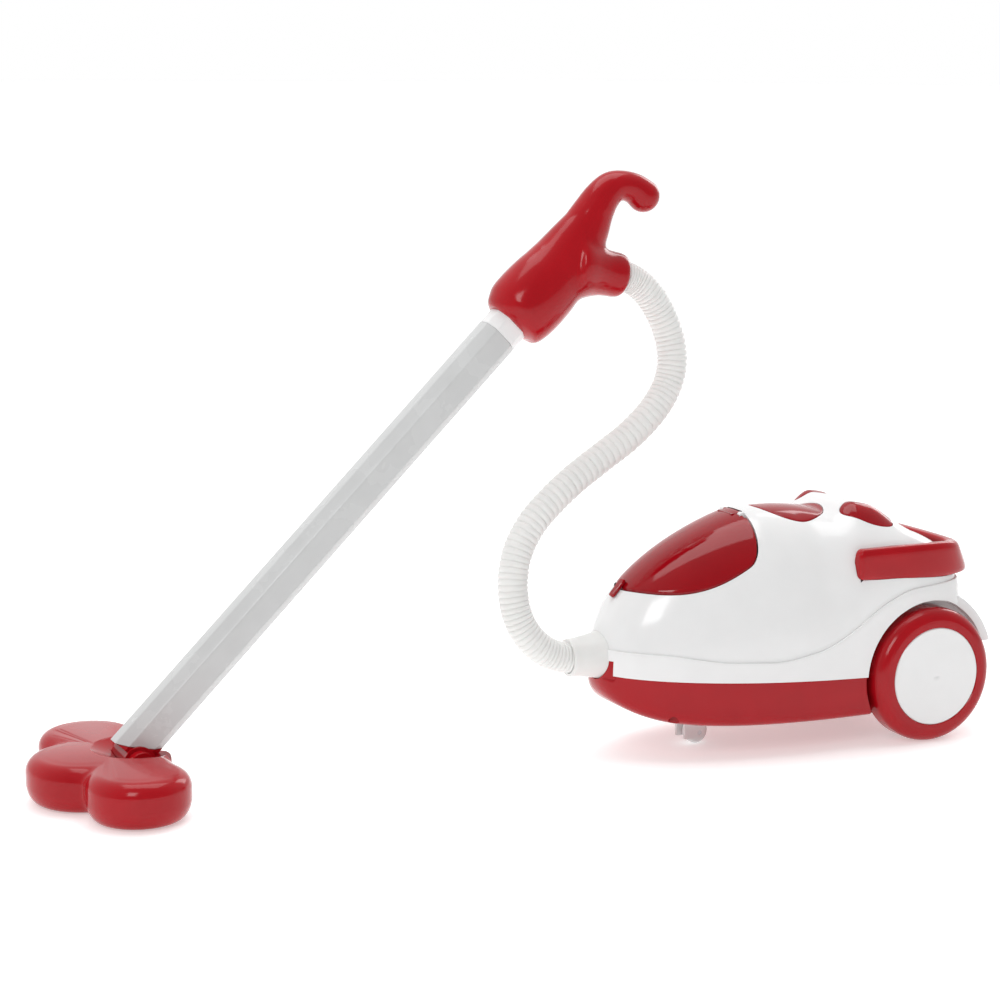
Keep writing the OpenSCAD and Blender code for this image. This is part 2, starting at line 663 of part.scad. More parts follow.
module hose_cuff() color(white) row() along_x(cuff_tip, inlet_level) rotate_extrude() polygon([
    [hose_d / 2 + seat_gap, 0], [hose_d / 2 + 2, 0], [hose_d / 2 + 2.4, 1.2], [hose_d / 2 + 2.6, 6],
    [cuff_r - 0.5, 20], [cuff_r, 22], [cuff_r, cuff_foot - cuff_tip - 0.1],
    [spigot_r, cuff_foot - cuff_tip - 0.1], [spigot_r, spigot_len], [hose_bore / 2, spigot_len],
    [hose_bore / 2, cuff_grip], [hose_d / 2 + seat_gap, cuff_grip]]);

// Ribbed hose: a tube with its bore, swept along the route from the handle to the cuff.
hose_path = [[-195.8, 44, 311.2], [-186, 44, 309.1], [-176.2, 44, 307], [-167, 44, 303], [-158, 42, 295],
             [-150, 41, 283], [-144, 39, 267], [-143, 36, 250], [-148, 34, 234], [-160, 31, 219],
             [-179, 28, 204], [-200, 25, 192], [-221, 22, 180], [-240, 19, 167], [-256, 16, 153],
             [-267, 13, 137], [-272, 10, 120], [-272, 7, 103], [-268, 4, 89], [-259, 1, 77], [-248, 0, 70],
             [-236, 0, 67], [-226, 0, 67], [-216, 0, 67]];
hose_sides = 9;
hose_ribs = 112;
bore_steps = 48;
hose_span = len(hose_path) - 1;
function hose_at(u) = spline(hose_path, u * hose_span);
function hose_dir(u) = let (d = hose_at(min(1, u + 0.002)) - hose_at(max(0, u - 0.002))) d / norm(d);
function hose_ring(u, r) = let (c = hose_at(u), d = hose_dir(u), a = cross([0, 1, 0], d),
    v = a / norm(a), w = cross(d, v))
    [for (k = [0:hose_sides - 1]) let (t = 360 * k / hose_sides) c + r * (cos(t) * v + sin(t) * w)];
module hose() color(white) row() {
    outer = [for (i = [0:2 * hose_ribs]) let (d = i % 2 == 0 ? hose_root_d : hose_d)
        hose_ring(i / (2 * hose_ribs), d / 2)];
    inner = [for (i = [0:bore_steps]) hose_ring(i / bore_steps, hose_bore / 2)];
    n = hose_sides;
    a = len(outer);
    b = len(inner);
    faces_out = band_faces(a, n);
    faces_in = [for (f = flip(band_faces(b, n))) f + a * n * [1, 1, 1]];
    near_end = [for (k = [0:n - 1]) let (j = (k + 1) % n, i = a * n)
        each [[k, j, i + j], [k, i + j, i + k]]];
    far_end = [for (k = [0:n - 1]) let (j = (k + 1) % n, o = (a - 1) * n, i = (a + b - 1) * n)
        each [[o + k, i + j, o + j], [o + k, i + k, i + j]]];
    polyhedron(concat([for (r = outer) each r], [for (r = inner) each r]),
        flip(concat(faces_out, faces_in, near_end, far_end)));
}

// Dust bin, its grille, and the fan behind it.
bin_slope = 0.36;
module bin_form(inset, z0) intersection() {
    prism(function(t) egg(t, -inset), 40, z0, 160);
    translate([-lid_mid - lid_fore, 60, 0])
        rotate([90, 0, 0])
            linear_extrude(120)
                polygon([[-5, 0], [110, 0], [110, 93 + 110 * bin_slope], [-5, 93 - 5 * bin_slope]]);
}
grille_r = 16;
grille_x = -lid_mid + lid_aft - 8.5;
shroud_x = grille_x + 7;
shroud_len = 21;
shroud_r = fan_d / 2 + 3.5;

module dust_bin() color(grey) row() difference() {
    bin_form(3, bin_floor);
    translate([0, 0, bin_wall])
        bin_form(3 + bin_wall, bin_floor);
    along_x(-body_front, inlet_level)
        cylinder(r = spigot_r + seat_gap, h = 60);
    along_x(grille_x - 10, fan_level)
        cylinder(r = grille_r + seat_gap, h = 40);
}

function grille_slot(i) = sqrt(pow(grille_r - 2, 2) - pow(abs(i) * 5.4 + 1.2, 2));
module bin_grille() color(dark) row() along_x(grille_x, fan_level) difference() {
    cylinder(r = grille_r, h = 6.6);
    for (i = [-2:2])
        translate([-grille_slot(i), i * 5.4 - 1.2, -1])
            cube([2 * grille_slot(i), 2.4, 9]);
}

module fan_shroud() color(grey) row() difference() {
    union() {
        along_x(shroud_x, fan_level)
            cylinder(r = shroud_r + 2, h = shroud_len);
        translate([shroud_x, -12, roof_z])
            cube([shroud_len, 24, fan_level - roof_z - shroud_r + 1]);
    }
    along_x(shroud_x - 1, fan_level)
        cylinder(r = shroud_r, h = shroud_len - 1);
    along_x(shroud_x, fan_level)
        cylinder(r = motor_d / 2 - 3, h = shroud_len + 2);
}

fan_x = shroud_x + 4;
motor_x = shroud_x + shroud_len + 0.4;
module impeller() color(white) row() along_x(fan_x, fan_level) difference() {
    union() {
        translate([0, 0, 11])
            cylinder(d = fan_d, h = 1.6);
        cylinder(r = 4.5, h = 12);
        for (i = [0:7])
            rotate([0, 0, 45 * i])
                translate([3, -0.7, 1])
                    cube([fan_d / 2 - 3.4, 1.4, 11]);
    }
    translate([0, 0, -1])
        cylinder(d = shaft_d + 2 * screw_fit, h = 20);
}

module motor_shaft() color(steel) row() along_x(fan_x + 1, fan_level)
    cylinder(d = shaft_d, h = motor_x + 8 - fan_x);

module motor() color(steel) row() difference() {
    union() {
        along_x(motor_x, fan_level)
            cylinder(d = motor_d, h = motor_l);
        along_x(motor_x + motor_l - 1, fan_level)
            cylinder(d = motor_d / 2.4, h = 4);
    }
    along_x(motor_x - 1, fan_level)
        cylinder(d = shaft_d + 2 * run_fit, h = 14);
}

module motor_saddle() color(dark) row() difference() {
    translate([motor_x + 6, -motor_d / 2 - 3, roof_z])
        cube([18, motor_d + 6, fan_level + 6 - roof_z]);
    along_x(motor_x, fan_level)
        cylinder(d = motor_d + 2 * screw_fit, h = motor_l);
    translate([motor_x, -motor_d / 2 + 2, roof_z + 4])
        cube([40, motor_d - 4, fan_level - motor_d / 2 - roof_z - 8]);
}

// Power button with its stem, over a switch on a bracket.
switch_top = bracket_z + 7;
button_rows = 5;
brim = 1.6;                // how far the button's brim reaches under the shell
brim_drop = 1.4;           // depth of the brim's top under the inside of the shell
brim_wall = 1.6;
function button_ring(g, drop, scale = 1, e = 0) = [for (k = [0:35]) let (p = oval(10 * k, g),
    x = -button_back + scale * (p[0] + button_back), y = scale * p[1]) [x, y, top_z(x, y, e) - drop]];
module power_button() color(red) row() union() {
    dome = [for (j = [0:button_rows - 1]) let (f = 1 - pow(j / button_rows, 1.3))
        button_ring(0, 1.2 * f * f - 1.6, f)];
    rings = concat([button_ring(brim, brim_drop + brim_wall, 1, shell_wall),
        button_ring(brim, brim_drop, 1, shell_wall), button_ring(0, brim_drop, 1, shell_wall)], dome);
    top = top_z(-button_back, 0);
    under = top - shell_wall - brim_drop;
    stem_foot = switch_top + move_gap + button_travel;
    closed_fan(rings, [-button_back, 0, top + 1.6], [-button_back, 0, under - brim_wall]);
    translate([-button_back, 0, stem_foot])
        cylinder(r = 4, h = under - brim_wall / 2 - stem_foot);
}

module switch_bracket() color(dark) row() difference() {
    translate([-button_back - 17, -bracket_side - 4, bracket_z - 2])
        cube([34, 2 * bracket_side + 8, 2]);
    for (p = bracket_spots)
        translate([p[0], p[1], bracket_z - 5])
            cylinder(r = 1.1 + screw_fit, h = 9);
}

module bracket_screws() color(steel) row() for (p = bracket_spots)
    translate([p[0], p[1], bracket_z - 3.6]) {
        cylinder(r = 2.2, h = 1.6);
        cylinder(r = 1.1, h = 9);
    }

module switch() color(dark) row() translate([-button_back, 0, bracket_z]) {
    translate([-6, -6, 0])
        cube([12, 12, 5]);
    cylinder(r = 2.4, h = switch_top - bracket_z);
}

// Lamps: domed lenses with a sleeve that holds the bulb.
lamp_top = top_z(-lamp_back, lamp_side);
module lens(side) difference() {
    union() {
        skin() patch(function(t) almond(t, 0, side), 28, 5, 0.3, 2.4, lens_bulge, side > 0);
        translate([-lamp_back, side * lamp_side, lamp_top - 11])
            cylinder(d = bulb_d + 3, h = 10);
    }
    translate([-lamp_back, side * lamp_side, lamp_top - 12])
        cylinder(d = bulb_d + 2 * screw_fit, h = 9.5);
}
module left_lens() color(clear_red) row() lens(-1);
module right_lens() color(clear_red) row() lens(1);
module lamp_bulbs() color(white) row() for (side = [-1, 1])
    translate([-lamp_back, side * lamp_side, lamp_top - 15])
        cylinder(d = bulb_d, h = 12);

module rear_handle() color(red) row() grip_band(0);

// Running gear.
module rear_axle() color(steel) row() translate([0, track / 2 - 3.4, axle_z])
    rotate([90, 0, 0])
        cylinder(d = axle_d, h = track - 6.8);

module at_wheel(side) translate([0, side * track / 2, axle_z]) rotate([-90 * side, 0, 0]) children();

nut_r = 5;
wheel_profile = concat([[nut_r + 1, -4.9], [nut_r + 1, -2.2], [disc_d / 2 + 0.1, -2.2],
    [disc_d / 2 + 0.1, -0.5], [disc_d / 2 + 0.6, 0]],
    [for (a = [0:10:90]) [wheel_d / 2 - 9 + 9 * sin(a), -9 + 9 * cos(a)]],
    [[wheel_d / 2, -wheel_width + 1.5], [wheel_d / 2 - 1.5, -wheel_width], [wheel_d / 2 - 4, -wheel_width],
    [wheel_d / 2 - 4, -9], [wheel_d / 2 - 9, -5], [10, -7], [8, -wheel_width + 0.6],
    [axle_d / 2 + run_fit, -wheel_width + 0.6], [axle_d / 2 + run_fit, -4.9]]);
module wheel(side) at_wheel(side) union() {
    rotate_extrude($fn = 96)
        polygon(wheel_profile);
    for (i = [0:5])
        rotate([0, 0, 60 * i + 30])
            translate([7, -0.8, -16])
                cube([wheel_d / 2 - 10.5, 1.6, 12]);
}
module left_wheel() color(red) row() wheel(-1);
module right_wheel() color(red) row() wheel(1);
module disc(side) at_wheel(side) rotate_extrude($fn = 96) polygon([[0, -2.1], [disc_d / 2, -2.1],
    [disc_d / 2, -0.6], [disc_d / 2 - 0.6, 0], [disc_d / 3, 0.6 * disc_dome], [0, disc_dome]]);
module left_disc() color(white) row() disc(-1);
module right_disc() color(white) row() disc(1);
module axle_nuts() color(steel) row() for (side = [-1, 1]) at_wheel(side) difference() {
    translate([0, 0, -4.5])
        cylinder(r = nut_r, h = 0.9);
    translate([0, 0, -5.5])
        cylinder(d = axle_d + 2 * screw_fit, h = 3);
}

caster_z = caster_d / 2;
fork_top = clearance - 0.3;
module caster_fork() color(white) row() translate([-caster_back, 0, 0]) difference() {
    union() {
        translate([0, 0, fork_top - 2.4])
            cylinder(r = 9.5, h = 2.4);
        cylinder_from(stem_d / 2, fork_top - 1, pan_post_z + 8);
        for (side = [-1, 1])
            translate([-4, side * (caster_w / 2 + 0.4 + 1.2) - 1.2, caster_z - 3.5])
                cube([caster_trail + 8, 2.4, fork_top - caster_z + 2.5]);
    }
    translate([caster_trail, 20, caster_z])
        rotate([90, 0, 0])
            cylinder(r = 1.5 + screw_fit, h = 40);
}
module cylinder_from(r, z0, z1) translate([0, 0, z0]) cylinder(r = r, h = z1 - z0);
module caster_clip() color(steel) row() translate([-caster_back, 0, pan_post_z + 4.5 + 0.3]) difference() {
    cylinder(r = 6.5, h = 1.2);
    translate([0, 0, -1])
        cylinder(r = stem_d / 2 + screw_fit, h = 4);
}
module at_caster(half) translate([caster_trail - caster_back, half, caster_z]) rotate([90, 0, 0]) children();
module caster_wheel() color(white) row() at_caster(caster_w / 2) rotate_extrude() polygon([
    [1.5 + run_fit, 0], [caster_d / 2 - 1.5, 0], [caster_d / 2, 1.5], [caster_d / 2, caster_w - 1.5],
    [caster_d / 2 - 1.5, caster_w], [1.5 + run_fit, caster_w]]);
module caster_pin() color(steel) row() at_caster(caster_w / 2 + 2.8)
    cylinder(r = 1.5, h = caster_w + 5.6);

// Battery cells, contacts and door.
cell_z = clearance + door_thick + seat_gap + 0.3 + cell_d / 2;
module at_cells() for (i = [-1:1]) translate([-bay_back + i * (cell_d + 2), 0, cell_z]) children();
module battery_cells() color(dark) row() at_cells() rotate([90, 0, 0]) {
    cylinder(d = cell_d, h = cell_l - 1.4, center = true);
    cylinder(d = 5, h = cell_l, center = true);
}
module battery_contacts() color(steel) row() at_cells() for (side = [-1, 1])
    translate([0, side * (bay_in[1] / 2 - 0.1), 0]) rotate([90 * side, 0, 0]) {
        translate([-5, -5.5, 0])
            cube([10, 11, 0.5]);
        cylinder(r1 = 4, r2 = 2, h = (bay_in[1] - cell_l) / 2 - 0.3);
    }
module battery_door() color(red) row() difference() {
    door_shape(seat_gap, clearance, clearance + door_thick);
    translate([door_screw_x, 0, clearance - 1])
        cylinder(r = 1.3 + screw_fit, h = 9);
    for (i = [-3:3])
        translate([-bay_back - 15 + i * 1.0, -10, clearance - 0.5])
            cube([0.5, 20, 1]);
}
module screw(r, head_r, head_h, length) {
    translate([0, 0, -head_h])
        cylinder(r = head_r, h = head_h);
    translate([0, 0, -0.5])
        cylinder(r = r, h = length + 0.5);
}
module door_screw() color(steel) row() translate([door_screw_x, 0, clearance])
    screw(1.3, 2.6, 1.4, 10);
module case_screws() color(steel) row() for (p = case_spots)
    translate([p[0], p[1], case_head_z])
        screw(1.4, 3, 2, 28);

// Wand: local X runs up the tube's axis from the pivot, local Z is square to it in the wand's plane.
module at_pivot() translate([-pivot_back, wand_side, pivot_level]) children();
module wand() at_pivot() rotate([0, -wand_lean, 0]) translate([0, 0, pivot_drop]) children();
function bevel_box(g) = let (a = tube_w / 2 + g, b = tube_depth / 2 + g, c = tube_bevel + 0.59 * g)
    [[a, b - c], [a - c, b], [c - a, b], [-a, b - c], [-a, c - b], [c - a, -b], [a - c, -b], [a, c - b]];
module tube_solid(g, s0, s1) translate([s0, 0, 0]) rotate([0, 90, 0]) linear_extrude(s1 - s0)
    polygon(bevel_box(g));

tube_top = mouth - collar_show;
collar_top = mouth + 26;
// Everything below the tube's mitred foot, which lies almost level.
function mitre_at(z) = tube_foot + mitre * (0.5 - z / tube_w);
module below_mitre(gap) rotate([90, 0, 0]) linear_extrude(2 * tube_depth, center = true)
    polygon([[mitre_at(tube_w) - gap, tube_w], [-2 * tube_w, tube_w], [-2 * tube_w, -tube_w],
             [mitre_at(-tube_w) - gap, -tube_w]]);
module wand_tube() color(grey) row() wand() difference() {
    tube_solid(0, tube_foot - 1, tube_top);
    tube_solid(-tube_wall, tube_foot - 2, tube_top + 1);
    below_mitre(0);
    at_barrel()
        cylinder(r = barrel_r + seat_gap, h = 2 * barrel_w, center = true);
}
module tube_collar() color(white) row() wand() difference() {
    union() {
        tube_solid(0, tube_top + 0.1, collar_top);
        tube_solid(-tube_wall - seat_gap / 2, tube_top - 22, tube_top + 2);
    }
    tube_solid(-tube_wall - 1.6, tube_top - 23, collar_top + 1);
}

// Handle: a body swept along its spine, with the hose outlet as a flared branch.
// Each station gives distance along the tube, height square to it, half width and half thickness.
spine = [[mouth, 0, bulb_half - 9, bulb_side - 9], [mouth + 3, 0, bulb_half - 4, bulb_side - 4],
         [mouth + 9, -0.5, bulb_half - 1, bulb_side - 1], [mouth + 20, -1, bulb_half, bulb_side],
         [mouth + 36, -1.5, bulb_half - 0.5, bulb_side - 1], [mouth + 50, -0.5, bulb_half - 3, bulb_side - 3],
         [mouth + 64, 1, 19.5, 17], [mouth + 79, 3, 17, 14.5], [mouth + 91, 6.5, 14, 13],
         [mouth + 102, 9, 12, 11.8], [mouth + 112, 8.5, 10.8, 10.6], [mouth + 119, 3.5, 9.8, 10],
         [mouth + 123.5, -4, 10, 10], [mouth + 125, -12, hook_r, hook_r]];
spine_steps = 24;
ball_steps = 3;
handle_sides = 16;
spine_last = len(spine) - 1;
function spine_dir(u) = let (d = spline(spine, min(spine_last, u + 0.05)) - spline(spine, max(0, u - 0.05)),
    v = [d[0], d[1]]) v / norm(v);
function loop(c, d, rp, ry) = [for (k = [0:handle_sides - 1]) let (t = 360 * k / handle_sides)
    [c[0] - d[1] * rp * cos(t), ry * sin(t), c[1] + d[0] * rp * cos(t)]];
module handle_body(e) {
    shaft = [for (i = [0:spine_steps]) let (u = spine_last * i / spine_steps, p = spline(spine, u))
        loop([p[0], p[1]], spine_dir(u), p[2] - e, p[3] - e)];
    end = spine[spine_last];
    d = spine_dir(spine_last);
    ball = [for (i = [1:ball_steps]) let (a = 90 * i / (ball_steps + 0.4), r = hook_r - e)
        loop([end[0], end[1]] + d * r * sin(a), d, r * cos(a), r * cos(a))];
    rings = concat(shaft, ball);
    n = handle_sides;
    last = len(rings) - 1;
    polyhedron([for (r = rings) each r], flip(concat(band_faces(last + 1, n),
        [for (k = [1:n - 2]) [0, k, k + 1]], [for (k = [1:n - 2]) last * n * [1, 1, 1] + [0, k + 1, k]])));
}

// The outlet's axis, as a place on its face and a direction.
outlet_at = [mouth + 78, -38.5];
outlet_turn = 33.6;
module outlet_frame() translate([outlet_at[0], 0, outlet_at[1]]) rotate([0, -outlet_turn, 0]) children();
module outlet_form(e) outlet_frame() rotate_extrude($fn = 28) polygon(concat([[0, e]],
    [for (a = [0:22.5:90]) [outlet_r - 3 + (3 - e * 0.9) * sin(a), 3 - (3 - e) * cos(a)]],
    [[outlet_r - e, 10], [outlet_r + 0.5 - e, 16], [outlet_r + 3 - e, 24], [outlet_r + 7 - e, 33],
    [outlet_r + 9 - e, 40], [0, 46]]));
handle_spots = [[mouth + 46, 12], [mouth + 46, -14], [mouth + 93, 8]];

module handle_half(side) difference() {
    union() {
        skin() intersection() {
            difference() {
                union() {
                    handle_body(0);
                    outlet_form(0);
                }
                difference() {
                    union() {
                        handle_body(handle_wall);
                        outlet_form(handle_wall);
                    }
                    for (p = handle_spots)
                        translate([p[0], 0, p[1]])
                            rotate([90, 0, 0])
                                cylinder(r = 4, h = 60, center = true, $fn = 20);
                    outlet_frame()
                        cylinder(r = outlet_r, h = 26, $fn = 24);
                    tube_solid(2.5, mouth - 2, collar_top + 2);
                }
            }
            translate([mouth - 20, side > 0 ? seam_gap / 2 : -60 - seam_gap / 2, -90])
                cube([200, 60, 180]);
        }
    }
    tube_solid(seat_gap / 2, mouth - 5, collar_top + 0.2);
    outlet_frame()
        translate([0, 0, -2])
            cylinder(d = hose_d + 2 * move_gap, h = 24);
    outlet_frame()
        translate([0, 0, 20])
            cylinder(r = 8 + screw_fit, h = 20);
    for (p = handle_spots)
        translate([p[0], 0, p[1]])
            rotate([90, 0, 0])
                cylinder(r = 1.3 + screw_fit, h = 22, center = true);
}
module handle_near() color(red) row() wand() handle_half(-1);
module handle_far() color(red) row() wand() handle_half(1);
module handle_screws() color(steel) row() wand() for (p = handle_spots)
    translate([p[0], 10, p[1]])
        rotate([90, 0, 0])
            cylinder(r = 1.3, h = 20);
ferrule_r = hose_bore / 2 * cos(180 / hose_sides) - move_gap;
module hose_spigot() color(white) row() wand() outlet_frame() translate([0, 0, 4]) difference() {
    union() {
        cylinder(r = ferrule_r, h = 20);
        translate([0, 0, 18.4])
            cylinder(r = 8, h = 12);
    }
    translate([0, 0, -1])
        cylinder(r = ferrule_r - 1.8, h = 40);
}

// Neck at the tube's foot: a barrel on the pivot, a wedge below the mitre and a plug in the tube.
neck_plug = 24;
module at_barrel() translate([0, 0, -pivot_drop]) rotate([90, 0, 0]) children();
module neck() color(red) row() wand() difference() {
    union() {
        at_barrel()
            cylinder(r = barrel_r, h = barrel_w, center = true);
        intersection() {
            tube_solid(0, 0, tube_foot + mitre);
            below_mitre(seam_gap);
        }
        tube_solid(-tube_wall - seat_gap / 2, 2, tube_foot + mitre + neck_plug);
    }
    tube_solid(-2 * tube_wall - seat_gap, barrel_r, tube_foot + mitre + neck_plug + 1);
    at_barrel()
        cylinder(d = neck_pin_d + 2 * run_fit, h = 2 * barrel_w, center = true);
}

// Three-lobed floor head. Each lobe gives its middle, seen from the head's middle, and its radius.
lobe_back = 2.5;
tail_back = 15;
tail_r = 24;
web_back = 8;
web_side = 30;
lobes = [[-lobe_front, 0, front_r], [lobe_back, lobe_side, lobe_r], [lobe_back, -lobe_side, lobe_r],
         [tail_back, 0, tail_r], [web_back, web_side, tail_r], [web_back, -web_side, tail_r]];
function total(v, i = 0) = i == len(v) ? 0 : v[i] + total(v, i + 1);
// Distance of a point from the head's outline, inwards, with the lobes run together in soft valleys.
function head_depth(p) = valley * ln(total([for (l = lobes) exp((l[2] - norm(p - [l[0], l[1]])) / valley)]));
function head_r(t, inset, lo = 0, hi = 120, n = 18) = let (m = (lo + hi) / 2)
    n == 0 ? m : head_depth(m * [cos(t), sin(t)]) > inset ? head_r(t, inset, m, hi, n - 1)
        : head_r(t, inset, lo, m, n - 1);
head_points = 80;
// Rows of the head from its foot to its flat top: inset from the outline, and height.
sole_inset = 10;
foot_z = 0.8;
girth = 14;                // height of the head's widest line
head_crown = 1;            // rise of the top from its edge to its middle
head_rows = concat([for (a = [0:22.5:67.5])
        [(sole_inset - 1.5) * (1 - sin(a)), girth - (girth - foot_z) * cos(a)]],
    [for (a = [0:22.5:90])
        [shoulder * (1 - cos(a)), head_height - shoulder - head_crown + shoulder * sin(a)]]);
function head_ring(inset, z) = [for (k = [0:head_points - 1])
    let (t = 360 * k / head_points, r = head_r(t, inset)) [head_mid + r * cos(t), wand_side + r * sin(t), z]];
module head_outside() {
    rings = [for (p = head_rows) head_ring(p[0], p[1])];
    closed_fan(rings, [head_mid, wand_side, head_height], [head_mid, wand_side, foot_z]);
}
head_wall = 2.4;
module head_inside() {
    rows = [[sole_inset + 0.2, -1], [sole_inset + 0.2, sole_thick + 0.1], [head_wall + 2.5, 8],
            [head_wall + shoulder * 0.3, head_height - 7], [head_wall + shoulder, head_height - 3]];
    rings = [for (p = rows) head_ring(p[0], p[1])];
    closed_fan(rings, [head_mid, wand_side, head_height - 2.6], [head_mid, wand_side, -1]);
}
// Round dish in the head's top, in which the neck stands between two cheeks.
dish_rim = 28;
dish_depth = 7;
dish_r = (dish_rim * dish_rim + dish_depth * dish_depth) / (2 * dish_depth);
cheek_w = 7;
cheek_r = 8.5;
slot_half = barrel_w / 2 + move_gap;
block_front = 18;          // reach of the block under the neck in front of the pivot
sole_spots = [[-32, 0], [lobe_back, lobe_side - 4], [lobe_back, 4 - lobe_side]];
module head_top() color(red) row() difference() {
    skin() difference() {
        union() {
            difference() {
                head_outside();
                difference() {
                    head_inside();
                    at_pivot()
                        translate([-block_front, -slot_half - cheek_w, sole_thick + 0.1 - pivot_level])
                            cube([60, 2 * (slot_half + cheek_w), 80]);
                    for (p = sole_spots)
                        translate([head_mid + p[0], wand_side + p[1], sole_thick + 0.1])
                            cylinder(r = 4.5, h = 40, $fn = 20);
                    dish(head_wall);
                }
                dish(0);
            }
            for (side = [-1, 1])
                at_pivot()
                    translate([0, side * (slot_half + cheek_w / 2), 0])
                        rotate([90, 0, 0])
                            cylinder(r = cheek_r, h = cheek_w, center = true, $fn = 32);
        }
        at_pivot()
            rotate([90, 0, 0])
                linear_extrude(2 * slot_half, center = true)
                    union() {
                        circle(r = barrel_r + move_gap, $fn = 40);
                        polygon([[-9.5, 2.8], [-18.3, 6.6], [-20, 14], [-14, 60], [60, 60], [60, 22.6],
                                 [8, -7.4]]);
                    }
    }
    at_pivot()
        rotate([90, 0, 0])
            cylinder(d = neck_pin_d + 2 * screw_fit, h = 2 * (slot_half + cheek_w) + 1, center = true);
    for (p = sole_spots)
        translate([head_mid + p[0], wand_side + p[1], 0])
            cylinder(r = 1.4 + screw_fit, h = 16);
}
module dish(grow) translate([2.5 - pivot_back, wand_side, head_height - head_crown / 2 - dish_depth + dish_r])
    sphere(r = dish_r + grow, $fn = 72);
module neck_pins() color(steel) row() at_pivot() for (side = [-1, 1])
    translate([0, side * (slot_half + cheek_w / 2 - 3), 0])
        rotate([90, 0, 0])
            cylinder(d = neck_pin_d, h = cheek_w + 5, center = true);
slot_reach = 22;           // half of the suction slot's length
module head_sole() color(dark) row() difference() {
    linear_extrude(sole_thick)
        polygon([for (p = head_ring(sole_inset + seat_gap + 0.2, 0)) [p[0], p[1]]]);
    translate([head_mid - 14, wand_side - slot_reach, -1])
        cube([9, 2 * slot_reach, 8]);
    for (p = sole_spots)
        translate([head_mid + p[0], wand_side + p[1], -1]) {
            cylinder(r = 1.4 + screw_fit, h = 9);
            cylinder(r = 3.1, h = 2.5);
        }
}
module head_screws() color(steel) row() for (p = sole_spots)
    translate([head_mid + p[0], wand_side + p[1], 1.5])
        screw(1.4, 3, 1.4, 12);

base_pan();
upper_shell();
inlet_collar();
hose_cuff();
hose();
dust_lid();
lid_pin();
dust_bin();
bin_grille();
fan_shroud();
impeller();
motor_shaft();
motor();
motor_saddle();
power_button();
switch_bracket();
bracket_screws();
switch();
left_lens();
right_lens();
lamp_bulbs();
rear_handle();
rear_axle();
axle_nuts();
left_wheel();
right_wheel();
left_disc();
right_disc();
caster_fork();
caster_clip();
caster_wheel();
caster_pin();
battery_cells();
battery_contacts();
battery_door();
door_screw();
case_screws();
wand_tube();
tube_collar();
handle_near();
handle_far();
handle_screws();
hose_spigot();
neck();
neck_pins();
head_top();
head_sole();
head_screws();
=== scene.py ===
import json
import math

import bmesh
import bpy
import numpy as np
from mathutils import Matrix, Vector
from mathutils.bvhtree import BVHTree


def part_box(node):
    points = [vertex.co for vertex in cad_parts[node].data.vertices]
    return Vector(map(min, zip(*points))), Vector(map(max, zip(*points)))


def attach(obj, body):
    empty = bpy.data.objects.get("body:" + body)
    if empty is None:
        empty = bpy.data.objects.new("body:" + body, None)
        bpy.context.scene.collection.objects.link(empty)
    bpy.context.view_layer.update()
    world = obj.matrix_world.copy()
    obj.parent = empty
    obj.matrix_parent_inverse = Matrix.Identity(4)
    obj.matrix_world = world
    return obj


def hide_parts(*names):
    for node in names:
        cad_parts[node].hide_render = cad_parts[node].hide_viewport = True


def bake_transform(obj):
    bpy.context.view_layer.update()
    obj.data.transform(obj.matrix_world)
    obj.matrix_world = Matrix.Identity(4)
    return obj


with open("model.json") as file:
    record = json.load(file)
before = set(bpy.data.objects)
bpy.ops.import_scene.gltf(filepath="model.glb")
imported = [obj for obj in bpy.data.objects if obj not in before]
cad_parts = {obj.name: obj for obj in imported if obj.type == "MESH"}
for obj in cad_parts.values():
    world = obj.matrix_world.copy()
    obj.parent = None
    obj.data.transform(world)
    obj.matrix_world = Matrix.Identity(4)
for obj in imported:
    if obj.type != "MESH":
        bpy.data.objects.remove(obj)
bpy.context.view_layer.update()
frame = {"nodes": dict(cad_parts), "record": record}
N = frame["nodes"]

# The canister's own frame, in mm, has its rear axle over x = 0 and its nose towards -X.
lo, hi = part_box("rear_axle")
SHIFT = np.array([(lo.x + hi.x) * 500, (lo.y + hi.y) * 500, 0.0])


def metres(p):
    return (np.asarray(p, float) + SHIFT) / 1000


# camera
scene = bpy.context.scene
scene.view_settings.view_transform = "Standard"
cam = bpy.data.objects.new("camera", bpy.data.cameras.new("camera"))
scene.collection.objects.link(cam)
cam.data.sensor_width = 36
cam.data.lens = 90
cam.data.clip_end = 100
az, el = math.radians(-25.5), math.radians(9.9)
back = Vector((math.sin(az) * math.cos(el), -math.cos(az) * math.cos(el), math.sin(el)))
cam.location = metres([-951.2, -1395.0, 443.4])
cam.rotation_mode = "QUATERNION"
cam.rotation_quaternion = (-back).to_track_quat("-Z", "Y")
scene.camera = cam


